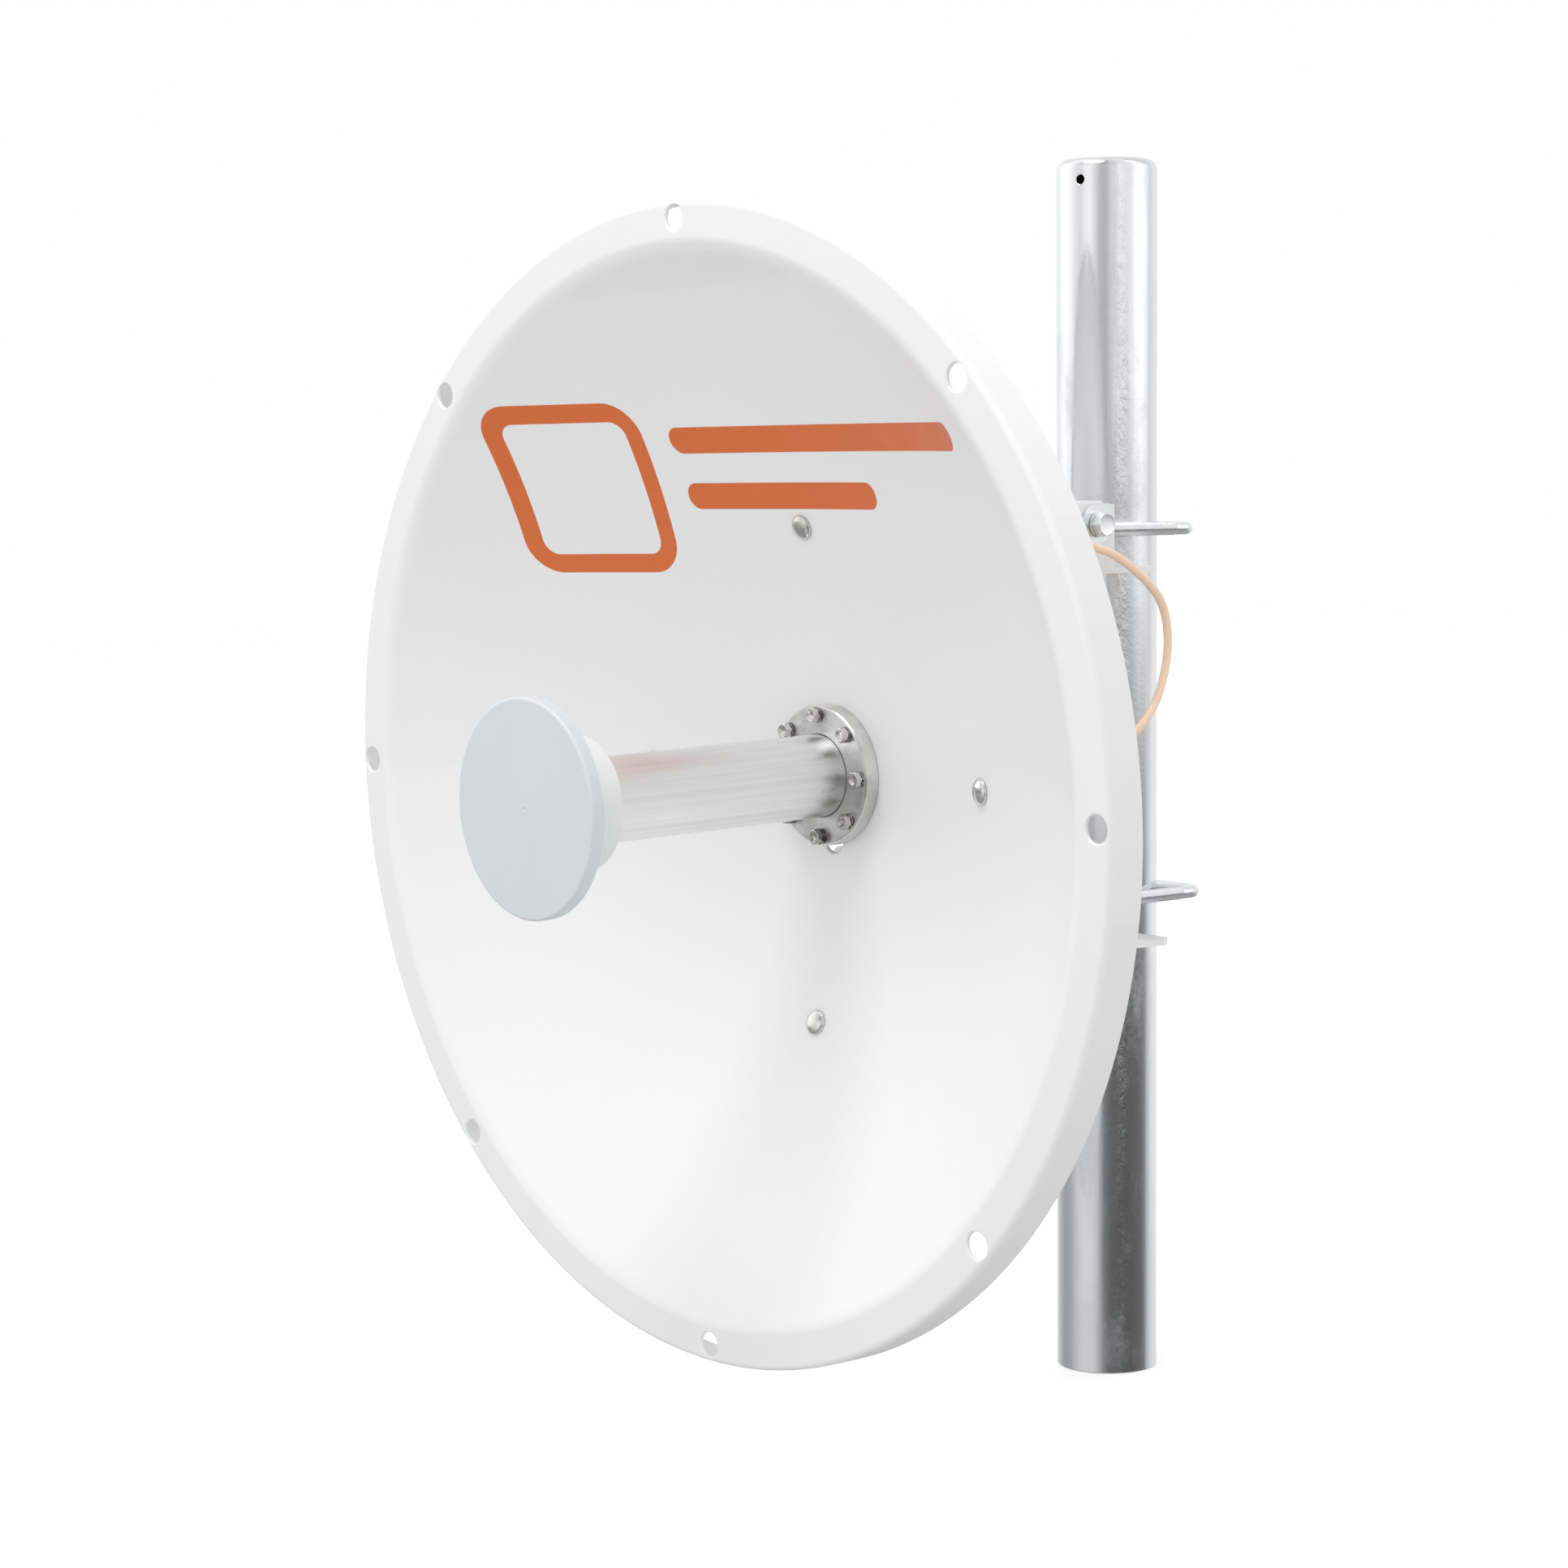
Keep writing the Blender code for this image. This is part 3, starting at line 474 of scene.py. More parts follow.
def settle(obj):
    """Applies the object's modifiers to its mesh."""
    graph = bpy.context.evaluated_depsgraph_get()
    mesh = bpy.data.meshes.new_from_object(obj.evaluated_get(graph), depsgraph=graph)
    obj.modifiers.clear()
    old, obj.data = obj.data, mesh
    bpy.data.meshes.remove(old)


def clean(mesh):
    """Takes out the slivers and loose faces that Booleans leave."""
    bm = bmesh.new()
    bm.from_mesh(mesh)
    bmesh.ops.remove_doubles(bm, verts=bm.verts, dist=SLIVER)
    bmesh.ops.dissolve_degenerate(bm, dist=SLIVER, edges=bm.edges)
    stray = [face for face in bm.faces if all(edge.is_boundary for edge in face.edges)]
    bmesh.ops.delete(bm, geom=stray, context="FACES")
    bm.to_mesh(mesh)
    bm.free()


def carve(obj, steps, edges):
    """Applies Booleans in turn, each an (operation, solid), and then rounds the sharp edges."""
    helpers = []
    for operation, solid in steps:
        helper = new_object("helper", solid)
        helper.hide_render = True
        modifier = obj.modifiers.new("carve", "BOOLEAN")
        modifier.operation = operation
        modifier.solver = "EXACT"
        modifier.object = helper
        helpers.append(helper)
    if edges:
        weld = obj.modifiers.new("weld", "WELD")
        weld.merge_threshold = 0.00002
        bevel = obj.modifiers.new("edges", "BEVEL")
        bevel.width = edges
        bevel.segments = 2
        bevel.limit_method = "ANGLE"
        bevel.angle_limit = math.radians(40)
    settle(obj)
    for helper in helpers:
        bpy.data.objects.remove(helper, do_unlink=True)
    clean(obj.data)


def add_piece(node, bm, steps=(), edges=0.0, sharp=35):
    """A finished piece that stands for a CAD node, moves with its body and takes its slot."""
    obj = new_object(f"{node}_fine", bm)
    for name in FINISHES_OF.get(node, [SLOT_OF[node]]):
        obj.data.materials.append(MATERIALS[name])
    if steps or edges:
        carve(obj, steps, edges)
    obj.data.shade_smooth()
    obj.data.set_sharp_from_angle(angle=math.radians(sharp))
    weighted = obj.modifiers.new("weighted", "WEIGHTED_NORMAL")
    weighted.keep_sharp = True
    settle(obj)
    body = BODY_OF[node]
    if body == "dish":
        obj.matrix_world = DISH_FRAME
    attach(obj, body)
    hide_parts(node)
    return obj


def along_depth(profile, steps, *matrices):
    """A body turned about the depth axis, after each matrix in turn."""
    return placed(turned(profile, steps), ALONG_DEPTH, *matrices)


def cut(*solids):
    return [("DIFFERENCE", joined(list(solids)))]


def bowl_depth(radius):
    return BOWL_DEPTH - BOWL_SQUARE * radius**2 - BOWL_FOURTH * radius**4


def bowl_slope(radius):
    return -2 * BOWL_SQUARE * radius - 4 * BOWL_FOURTH * radius**3


def chamfered_hex(corner, low, high, low_end=True, high_end=True):
    """The rings of a hexagonal bar, whose ends may be turned off, from its low face to its high."""
    face = corner * 0.84
    reaches = [face + (corner - face) * step / 4 for step in range(5)]
    ends = [(hexed(corner, reach), (reach - face) * 0.58) for reach in reaches]
    rings = [(ring, low + rise) for ring, rise in ends] if low_end else [(hexed(corner), low)]
    if not high_end:
        return rings + [(hexed(corner), high)]
    return rings + [(ring, high - rise) for ring, rise in reversed(ends)]


def hex_nut(bore, corner, height):
    """The rings of a nut that stands on height 0."""
    return [(bore, 0.0002)] + chamfered_hex(corner, 0, height) + [(bore, height - 0.0002)]


def split_washer(inner, outer, low, high):
    """A spring washer about local Z, cut through on the skew."""
    bm = bmesh.new()
    spring = (high - low) * 0.16
    rings = []
    for step in range(49):
        turn = step / 48
        ring = []
        for radius, height in ((inner, low), (outer, low), (outer, high), (inner, high)):
            skew = 0.12 if height == high else 0.0
            angle = math.radians(6 + 348 * turn) + skew
            lift = spring * (turn - 0.5) * (1 if height == high else -1) * -0.5
            point = (radius * math.cos(angle), radius * math.sin(angle), height + lift)
            ring.append(bm.verts.new(point))
        rings.append(ring)
    for first, second in zip(rings, rings[1:]):
        bridge(bm, first, second)
    return closed(bm, rings[0], rings[-1])


def threaded(radius, pitch, depth, low, high):
    """The rings of a fine thread along local Z."""
    count = max(2, round((high - low) / pitch))
    rings = []
    for turn in range(count):
        base = low + (high - low) * turn / count
        rise = (high - low) / count
        rings += [(radius - depth, base + rise * 0.05), (radius, base + rise * 0.45)]
        rings += [(radius, base + rise * 0.55), (radius - depth, base + rise * 0.95)]
    return rings


def make_mast():
    bore = MAST_RADIUS - MAST_WALL
    cap = MAST_LENGTH - MAST_WALL
    profile = [(bore, 0.0006), (bore + 0.0006, 0), (MAST_RADIUS - 0.0006, 0), (MAST_RADIUS, 0.0006)]
    profile += [(MAST_RADIUS, MAST_LENGTH * step / 12) for step in range(1, 12)]
    corner = (MAST_RADIUS - MAST_TOP_CORNER, MAST_LENGTH - MAST_TOP_CORNER)
    profile += arc(corner, MAST_TOP_CORNER, 0, 90, 8)
    profile += [(0, MAST_LENGTH), (0, cap)] + arc((bore - 0.003, cap - 0.003), 0.003, 90, 0, 4)
    vent = placed(
        flared_hole(VENT_RADIUS, -MAST_RADIUS, 0, 0.0004),
        ALONG_DEPTH,
        Matrix.Rotation(VENT_BEARING, 4, "Z"),
        moved(0, 0, VENT_HEIGHT),
    )
    add_piece("mast_pipe", turned(profile, 192), cut(vent))


def from_pivot(radius, degrees):
    """A point in the (y, z) plane below the pivot, swung this far forward of straight down."""
    angle = math.radians(degrees)
    return PIVOT.y - radius * math.sin(angle), PIVOT.z - radius * math.cos(angle)


def lock_swing():
    """The lock bolt's distance from the pivot, and its angle forward of straight down at rest."""
    back = LOCK_DEPTH - PIVOT_DEPTH
    down = PIVOT_ABOVE_AXIS + LOCK_BELOW_AXIS
    return math.hypot(back, down), math.degrees(math.atan2(-back, down) - AIM_DOWN)


def lock_slot():
    radius, rest = lock_swing()
    low = rest - math.degrees(TILT_DOWN)
    high = rest + math.degrees(TILT_UP)
    half = M8_RADIUS + GAP
    steps = [low + (high - low) * step / 24 for step in range(25)]
    outline = [from_pivot(radius + half, angle) for angle in steps]
    outline += arc(from_pivot(radius, high), half, 270 - high, 90 - high, 12)[1:-1]
    outline += [from_pivot(radius - half, angle) for angle in reversed(steps)]
    outline += arc(from_pivot(radius, low), half, 90 - low, -90 - low, 12)[1:-1]
    return outline


def upper_cheek():
    base, top = UPPER_CLAMP_BASE, UPPER_CLAMP_BASE + CLAMP_HEIGHT
    front, corner, back = PIVOT.y - 0.018, 0.007, CLAMP_BACK + 0.001
    outline = [(back, base), (back, top)] + arc((front + corner, top - corner), corner, 90, 180, 8)
    return outline + arc((front + corner, base + corner), corner, 180, 270, 8)


def lower_cheek():
    radius, _ = lock_swing()
    base, top, back = LOWER_CLAMP_BASE, LOWER_CLAMP_BASE + CLAMP_HEIGHT, CLAMP_BACK + 0.001
    inner = [7 + 20 * step / 10 for step in range(11)]
    outer = [27 - 19 * step / 10 for step in range(11)]
    outline = [(back, base), (back, top)]
    outline += [from_pivot(radius - 0.014, angle) for angle in inner]
    end = ((-0.0115, 28.1), (-0.007, 28.6), (0.009, 28.6), (0.0135, 28.1))
    outline += [from_pivot(radius + off, angle) for off, angle in end]
    outline += [from_pivot(radius + 0.016, angle) for angle in outer]
    return outline + [(PIVOT.y - 0.018, base)]


def make_clamp(node, cheek, base, fork_back, rise, openings):
    """One bent steel clamp: two cheeks and the web between them, bent from one strip, and the fork
    and saddle that bear on the mast."""
    top = base + CLAMP_HEIGHT
    front = min(y for y, _ in cheek) - 0.01
    outside = CLAMP_BACK
    bend = arc((CLAMP_OUTER - CLAMP_BEND, outside - CLAMP_BEND), CLAMP_BEND, 0, 90, 6)
    path = both_sides([(CLAMP_OUTER, front)] + bend)
    channel = prism(thickened(path, CLAMP_SHEET), base - 0.02, top + 0.08)
    outline = placed(prism(cheek, -CLAMP_OUTER - 0.01, CLAMP_OUTER + 0.01), ALONG_X)
    fork = [(-CLAMP_OUTER + CLAMP_BEND, outside - CLAMP_SHEET)]
    rounded = arc((CLAMP_OUTER - FORK_CORNER, fork_back - FORK_CORNER), FORK_CORNER, 90, 2, 10)
    fork += [(-x, y) for x, y in reversed(rounded)] + rounded
    fork += [(CLAMP_OUTER - CLAMP_BEND, outside - CLAMP_SHEET)]
    low = (-SADDLE_HALF_WIDTH, outside - 0.001, top - CLAMP_SHEET)
    saddle = box(low, (SADDLE_HALF_WIDTH, SADDLE_BACK, top))
    holes = [rod(MAST_RADIUS + GAP, base - 0.01, top + 0.01, 128)]
    leg = placed(rod(M8_RADIUS + GAP, -0.01, 0.01), ALONG_DEPTH)
    placed(leg, moved(U_BOLT_LEG_X, CLAMP_BACK, base + rise))
    holes += [leg, mirrored(leg)]
    inner = CLAMP_OUTER - CLAMP_SHEET
    for opening in openings:
        through = placed(prism(opening, inner - 0.005, CLAMP_OUTER + 0.005), ALONG_X)
        holes += [through, mirrored(through)]
    steps = [("INTERSECT", outline), ("UNION", prism(fork, base, base + CLAMP_SHEET))]
    steps += [("UNION", saddle)] + cut(*holes)
    add_piece(node, channel, steps, edges=0.0005)


def thread_radius(along, angle, pitch, depth):
    """How far a thread's groove cuts in at this length along a bar and this angle round it."""
    phase = (along / pitch - angle / (2 * math.pi)) % 1
    return depth * min(1.0, abs(2 * phase - 1) * 1.25)


def make_u_bolt(node, height, slack):
    """A square U-bolt round the mast. Slack is how far it still is from bearing on the mast."""
    thread_end = U_BOLT_BACK - U_BOLT_PLAIN_END
    threaded_length = thread_end - U_BOLT_TIP
    fine = round(threaded_length / (M8_PITCH / 5))
    leg = [(U_BOLT_LEG_X, U_BOLT_TIP + threaded_length * step / fine) for step in range(fine + 1)]
    bend = (U_BOLT_LEG_X - U_BOLT_BEND, U_BOLT_BACK - U_BOLT_BEND)
    half = leg + [(U_BOLT_LEG_X, thread_end + 0.003)] + arc(bend, U_BOLT_BEND, 0, 90, 16)
    points = [Vector((x, y + slack, height)) for x, y in both_sides(half)]
    total = length_of(points)

    def radius(along, angle):
        from_end = min(along, total - along)
        taper = 0.0006 * max(0.0, 1 - from_end / 0.0012)
        if from_end < threaded_length:
            return M8_RADIUS - taper - thread_radius(along, angle, M8_PITCH, M8_THREAD_DEPTH)
        return M8_RADIUS - 0.00018

    add_piece(node, tube(points, radius, 20), sharp=70)
    bore = M8_RADIUS + GAP
    nut = turned(hex_nut(bore, M8_CORNER, M8_NUT_HEIGHT), 48)
    placed(nut, Matrix.Rotation(math.pi / 6, 4, "Z"), moved(0, 0, 0.0020))
    whole = joined([nut, split_washer(bore, U_BOLT_WASHER_RADIUS, 0.0001, 0.0019)])
    seat = CLAMP_BACK - CLAMP_SHEET - GAP
    forwards = Matrix.Rotation(math.pi / 2, 4, "X")
    for side, x in (("right", U_BOLT_LEG_X), ("left", -U_BOLT_LEG_X)):
        body = placed(whole.copy(), forwards, moved(x, seat, height))
        add_piece(f"{node}_nut_{side}", body)


def make_mount():
    pivot = arc((PIVOT.y, PIVOT.z), M8_RADIUS + GAP, 0, 360, 40)[:-1]
    base, rise = UPPER_CLAMP_BASE, UPPER_U_BOLT_RISE
    make_clamp("upper_clamp", upper_cheek(), base, UPPER_FORK_BACK, rise, [pivot])
    make_u_bolt("upper_u_bolt", base + rise, 0.0)
    base, rise = LOWER_CLAMP_BASE, LOWER_U_BOLT_RISE
    make_clamp("lower_clamp", lower_cheek(), base, LOWER_FORK_BACK, rise, [lock_slot()])
    make_u_bolt("lower_u_bolt", base + rise, LOWER_U_BOLT_SLACK)


def cross_bolt():
    """An M8 bolt with its spring washer under the head: local +Z is the head's side, 0 its seat."""
    end = -CROSS_BOLT_LENGTH
    shank = [(0, end), (M8_RADIUS - 0.0007, end), (M8_RADIUS - 0.0001, end + 0.0006)]
    shank += threaded(M8_RADIUS, M8_PITCH, M8_THREAD_DEPTH, end + 0.0006, -0.001)
    shank += [(M8_RADIUS, -0.0005), (M8_RADIUS, 0.0018), (0.0058, 0.0018), (0.0060, 0.0020)]
    top = 0.0020 + M8_HEAD_HEIGHT
    head = chamfered_hex(M8_CORNER, 0.0020, top, low_end=False)
    crown = [(0.0059, top), (0.0055, top - 0.0002), (0, top - 0.0003)]
    bolt = turned(shank + head + crown, 48)
    return joined([bolt, split_washer(M8_RADIUS + 0.0001, SPRING_WASHER_RADIUS, 0.0, 0.0018)])


def make_cross_bolts(name, y, z):
    """A bolt, washer and nut through each cheek, with the head outside and the nut inside."""
    seat = CLAMP_OUTER + GAP
    bore = M8_RADIUS + GAP
    reach, sheet = M8_WASHER_RADIUS, M8_WASHER_SHEET
    washer = [(bore, 0.0002), (bore + 0.0002, 0), (reach - 0.0003, 0), (reach, 0.0003)]
    washer += [(reach, sheet - 0.0004), (reach - 0.0004, sheet)]
    washer += [(bore + 0.0002, sheet), (bore, sheet - 0.0002)]
    nut = hex_nut(bore, M8_CORNER, M8_NUT_HEIGHT)
    spot = moved(0, y, z)
    bodies = {
        "washer": placed(turned(washer, 64), ALONG_X, moved(seat, 0, 0), spot),
        "bolt": placed(cross_bolt(), ALONG_X, moved(seat + sheet + GAP, 0, 0), spot),
        "nut": placed(
            turned(nut, 48),
            Matrix.Rotation(math.pi, 4, "X"),
            Matrix.Rotation(math.pi / 6, 4, "Z"),
            ALONG_X,
            moved(EAR_OUTER - EAR_SHEET - GAP, 0, 0),
            spot,
        ),
    }
    for kind, body in bodies.items():
        add_piece(f"{name}_{kind}_left", mirrored(body))
        add_piece(f"{name}_{kind}_right", body)


def reflector_face():
    """The dish's front face as (radius, depth), from its feed hole out over the rim."""
    seat = bowl_depth(SEAT_RADIUS)
    path = [(FEED_HOLE_RADIUS, seat), (SEAT_RADIUS - 0.002, seat)]
    path += [(SEAT_RADIUS + 0.001, bowl_depth(SEAT_RADIUS + 0.001) - 0.00002)]
    radii = [SEAT_RADIUS + 0.004 + (LIP_START - SEAT_RADIUS - 0.004) * n / 48 for n in range(48)]
    path += [(radius, bowl_depth(radius)) for radius in radii]
    path += eased((LIP_START, bowl_depth(LIP_START)), (LIP_CORNER, 0), (LIP_END, 0), 12)
    path += [(0.306, 0), (0.3155, 0)]
    path += arc((RIM_RADIUS - RIM_CORNER, RIM_CORNER), RIM_CORNER, -90, 0, 10)
    return path + [((RIM_RADIUS + SKIRT_RADIUS) / 2, 0.012), (SKIRT_RADIUS, SKIRT_BACK)]


def carriage_seat(number):
    """Where a carriage bolt sits: its local +Z runs back through the bowl's sheet, square to it."""
    lean = -math.atan(bowl_slope(CARRIAGE_CIRCLE))
    seat = moved(0, bowl_depth(CARRIAGE_CIRCLE), CARRIAGE_CIRCLE)
    return about_dish_axis(90 * number) @ seat @ Matrix.Rotation(lean, 4, "X") @ ALONG_DEPTH


def carriage_holes():
    hole = rod(CARRIAGE_RADIUS + GAP, -0.02, 0.02, 24)
    return [placed(hole.copy(), carriage_seat(number)) for number in range(len(CARRIAGE_PLACES))]


def make_reflector():
    face = reflector_face()
    body = placed(turned(thickened(face, DISH_SHEET), 240, marked=len(face) - 1), ALONG_DEPTH)
    holes = []
    for number in range(RIM_HOLES):
        hole = placed(flared_hole(RIM_HOLE_RADIUS, 0, 0.007, 0.0007), ALONG_DEPTH)
        turn = about_dish_axis(360 / RIM_HOLES * number)
        holes.append(placed(hole, moved(0, 0, RIM_HOLE_CIRCLE), turn))
    drain = flared_hole(DRAIN_HOLE_RADIUS, bowl_depth(SEAT_RADIUS), 0.12, 0.0005)
    holes.append(placed(drain, ALONG_DEPTH, moved(0, 0, -DRAIN_HOLE_BELOW)))
    # The lowest flange bolt runs through the drain hole.
    bolts = [number for number in range(FLANGE_BOLTS) if number != FLANGE_BOLTS // 2]
    holes += flange_bolt_holes(0.09, 0.12, bolts) + carriage_holes()
    add_piece("reflector", body, cut(*holes), sharp=50)


def make_carriage_bolts():
    sheets = DISH_SHEET + ARM_SHEET
    shank = sheets + 0.010
    reach = CARRIAGE_HEAD_RADIUS
    dome = [math.radians(90 * step / 10) for step in range(11)]
    head = [(reach * math.sin(a), -0.0009 - CARRIAGE_DOME * math.cos(a)) for a in dome]
    head += [(reach, -GAP - 0.0002), (reach - 0.0002, -GAP), (CARRIAGE_RADIUS, -GAP)]
    head += [(CARRIAGE_RADIUS, sheets)]
    head += threaded(CARRIAGE_RADIUS, 0.001, 0.0005, sheets, shank - 0.0005)
    head += [(CARRIAGE_RADIUS - 0.0006, shank), (0, shank)]
    nut = hex_nut(CARRIAGE_RADIUS + GAP, CARRIAGE_NUT_CORNER, CARRIAGE_NUT_HEIGHT)
    seat = moved(0, 0, sheets + 2 * GAP)
    for number, place in enumerate(CARRIAGE_PLACES):
        bolt = placed(turned(head, 48), carriage_seat(number))
        add_piece(f"carriage_bolt_{place}", bolt)
        body = placed(turned(nut, 48), seat, carriage_seat(number))
        add_piece(f"carriage_nut_{place}", body)


def make_feed():
    bore = TUBE_RADIUS - TUBE_WALL
    profile = [(bore, TUBE_START), (TUBE_RADIUS - 0.0004, TUBE_START)]
    profile += [(TUBE_RADIUS, TUBE_START + 0.0004), (TUBE_RADIUS, -0.03), (TUBE_RADIUS, 0.04)]
    profile += [(TUBE_RADIUS, TUBE_END), (bore, TUBE_END)]
    add_piece("feed_tube", along_depth(profile, 160))
    hole = TUBE_RADIUS + GAP
    front = DISC_BACK + GAP
    profile = [(0, front), (COLLAR_RADIUS - 0.0004, front), (COLLAR_RADIUS, front + 0.0004)]
    profile += arc((COLLAR_RADIUS - 0.0022, COLLAR_BACK - 0.0022), 0.0022, 0, 90, 8)
    profile += [(hole + 0.0030, COLLAR_BACK), (hole + 0.0026, COLLAR_BACK - 0.0004)]
    profile += [(hole + 0.0006, COLLAR_BACK - 0.0004), (hole, COLLAR_BACK - 0.0010)]
    profile += [(hole, TUBE_START - GAP), (0, TUBE_START - GAP)]
    add_piece("feed_collar", along_depth(profile, 160))
    profile = raised(DISC_FRONT, (0, 0.0008), (0.0006, 0.0007), (0.0012, 0.0001), (0.0016, 0))
    profile += raised(DISC_FRONT, (0.0030, 0), (0.0033, 0.00012), (0.0037, 0.00012), (0.0040, 0))
    profile += [(0.020, DISC_FRONT)]
    profile += arc((DISC_RADIUS - 0.0016, DISC_FRONT + 0.0016), 0.0016, -90, 0, 8)
    profile += [(DISC_RADIUS, DISC_BACK - 0.0006), (DISC_RADIUS - 0.0006, DISC_BACK)]
    profile += [(0, DISC_BACK)]
    add_piece("subreflector", along_depth(profile, 192))
    profile = raised(FLANGE_FRONT, (hole + 0.0002, 0), (0.0384, 0), (0.0388, 0.0002))
    profile += raised(FLANGE_FRONT, (0.0396, 0.0010), (FLANGE_RADIUS, 0.0016))
    profile += [(FLANGE_RADIUS, FLANGE_BACK - 0.0003), (FLANGE_RADIUS - 0.0003, FLANGE_BACK)]
    profile += [(hole, FLANGE_BACK), (hole, FLANGE_FRONT + 0.0002)]
    holes = cut(*flange_bolt_holes(0.08, 0.11))
    add_piece("feed_flange", along_depth(profile, 160), holes)


def flange_bolt_holes(front, back, bolts=range(FLANGE_BOLTS)):
    holes = []
    for number in bolts:
        hole = placed(rod(FLANGE_BOLT_RADIUS + GAP, front, back, 24), ALONG_DEPTH)
        placed(hole, moved(0, 0, FLANGE_BOLT_CIRCLE), about_dish_axis(45 * number))
        holes.append(hole)
    return holes


def make_flange_bolts():
    """Hexagon bolts with a dished head, each on a spring washer. No two stop at the same turn."""
    seat = FLANGE_FRONT - GAP
    under = seat - FLANGE_WASHER_SHEET - GAP
    front = under - FLANGE_BOLT_HEAD
    bolt = raised(front, (0, 0.00135), (0.0008, 0.00130), (0.0015, 0.00112), (0.0021, 0.0008))
    bolt += raised(front, (0.0026, 0.00035), (0.0029, 0.00008), (0.0031, 0), (0.0037, 0))
    bolt += chamfered_hex(FLANGE_BOLT_CORNER, front + 0.00005, under, high_end=False)
    bolt += [(0.0030, under), (FLANGE_BOLT_RADIUS, under + 0.0004)]
    bolt += threaded(FLANGE_BOLT_RADIUS, 0.0008, 0.0004, seat, FLANGE_BOLT_END - 0.0006)
    bolt += [(FLANGE_BOLT_RADIUS - 0.0006, FLANGE_BOLT_END), (0, FLANGE_BOLT_END)]
    inner = FLANGE_BOLT_RADIUS + GAP
    for number in range(FLANGE_BOLTS):
        spot = about_dish_axis(45 * number) @ moved(0, 0, FLANGE_BOLT_CIRCLE) @ ALONG_DEPTH
        turn = Matrix.Rotation(math.radians(11 + 37 * number), 4, "Z")
        washer = split_washer(inner, FLANGE_WASHER_RADIUS, seat - FLANGE_WASHER_SHEET, seat)
        placed(washer, turn.inverted(), spot)
        add_piece(f"flange_washer_{number + 1}", washer)
        body = placed(turned(bolt, 48), turn, spot)
        add_piece(f"flange_bolt_{number + 1}", body, sharp=25)


def arm_path():
    """The front face of one arm as (radius, depth), from the hub to the end of its foot."""
    slope = bowl_slope(CARRIAGE_CIRCLE)
    seat = bowl_depth(CARRIAGE_CIRCLE) + (DISH_SHEET + GAP) * math.hypot(1, slope)
    heel, toe = [(r, seat + slope * (r - CARRIAGE_CIRCLE)) for r in (0.124, 0.157)]
    middle = (HUB_FRONT + HUB_BACK - ARM_SHEET) / 2
    drop = heel[1] - middle
    first = eased((0.1055, middle), (0.110, middle), (0.1125, middle + drop * 0.18), 5)
    last = eased((0.1215, middle + drop * 0.82), heel, (0.128, heel[1] + slope * 0.004), 5)
    return [(0.085, middle)] + first + last + [toe]


def make_dish_bracket():
    """A hub with four arms that bolt to the bowl, and two pairs of ears for the clamps."""
    hub = [(HUB_INNER, HUB_FRONT), (HUB_OUTER, HUB_FRONT)]
    hub += [(HUB_OUTER, HUB_BACK), (HUB_INNER, HUB_BACK)]
    steps = []
    for number in range(len(CARRIAGE_PLACES)):
        arm = prism(thickened(arm_path(), ARM_SHEET), -ARM_HALF_WIDTH, ARM_HALF_WIDTH)
        steps.append(("UNION", placed(arm, about_dish_axis(90 * number))))
    root = HUB_BACK - 0.0018
    top = PIVOT_ABOVE_AXIS + 0.0125
    back = PIVOT_DEPTH + 0.0092
    upper = [(root, 0.022), (0.160, 0.040), (0.238, 0.112)]
    upper += eased((0.238, 0.112), (0.246, 0.119), (0.258, 0.119), 5)[1:]
    upper += arc((back - 0.004, 0.123), 0.004, -90, 0, 5)
    upper += [(back, top), (0.205, top), (0.150, 0.104), (root, 0.084)]
    lower = [(root, -0.056), (0.160, -0.060), (0.212, -0.0715)]
    lower += arc((LOCK_DEPTH, -LOCK_BELOW_AXIS), 0.0135, 70, -80, 14)
    lower += [(0.190, -0.097), (root, -0.084)]
    for outline in (upper, lower):
        ear = placed(prism(outline, EAR_OUTER - EAR_SHEET, EAR_OUTER), ALONG_X)
        steps += [("UNION", mirrored(ear)), ("UNION", ear)]
    reach = EAR_OUTER - 0.0001
    lid = box((-reach, 0.205, top - 0.001), (reach, back + 0.0004, top + 0.001))
    steps.append(("UNION", lid))
    holes = carriage_holes()
    for depth, height in ((PIVOT_DEPTH, PIVOT_ABOVE_AXIS), (LOCK_DEPTH, -LOCK_BELOW_AXIS)):
        hole = placed(rod(M8_RADIUS + GAP, 0.045, 0.060), ALONG_X, moved(0, depth, height))
        holes += [hole, mirrored(hole)]
    for low, high in ((-HUB_OUTER - 0.001, -HUB_WING), (HUB_WING, HUB_OUTER + 0.001)):
        inside = (EAR_OUTER + 0.0001, HUB_FRONT - 0.004, low)
        corner = box(inside, (HUB_OUTER + 0.001, HUB_BACK + 0.004, high))
        holes += [corner, mirrored(corner)]
    add_piece("dish_bracket", along_depth(hub, 96), steps + cut(*holes), edges=0.0004)


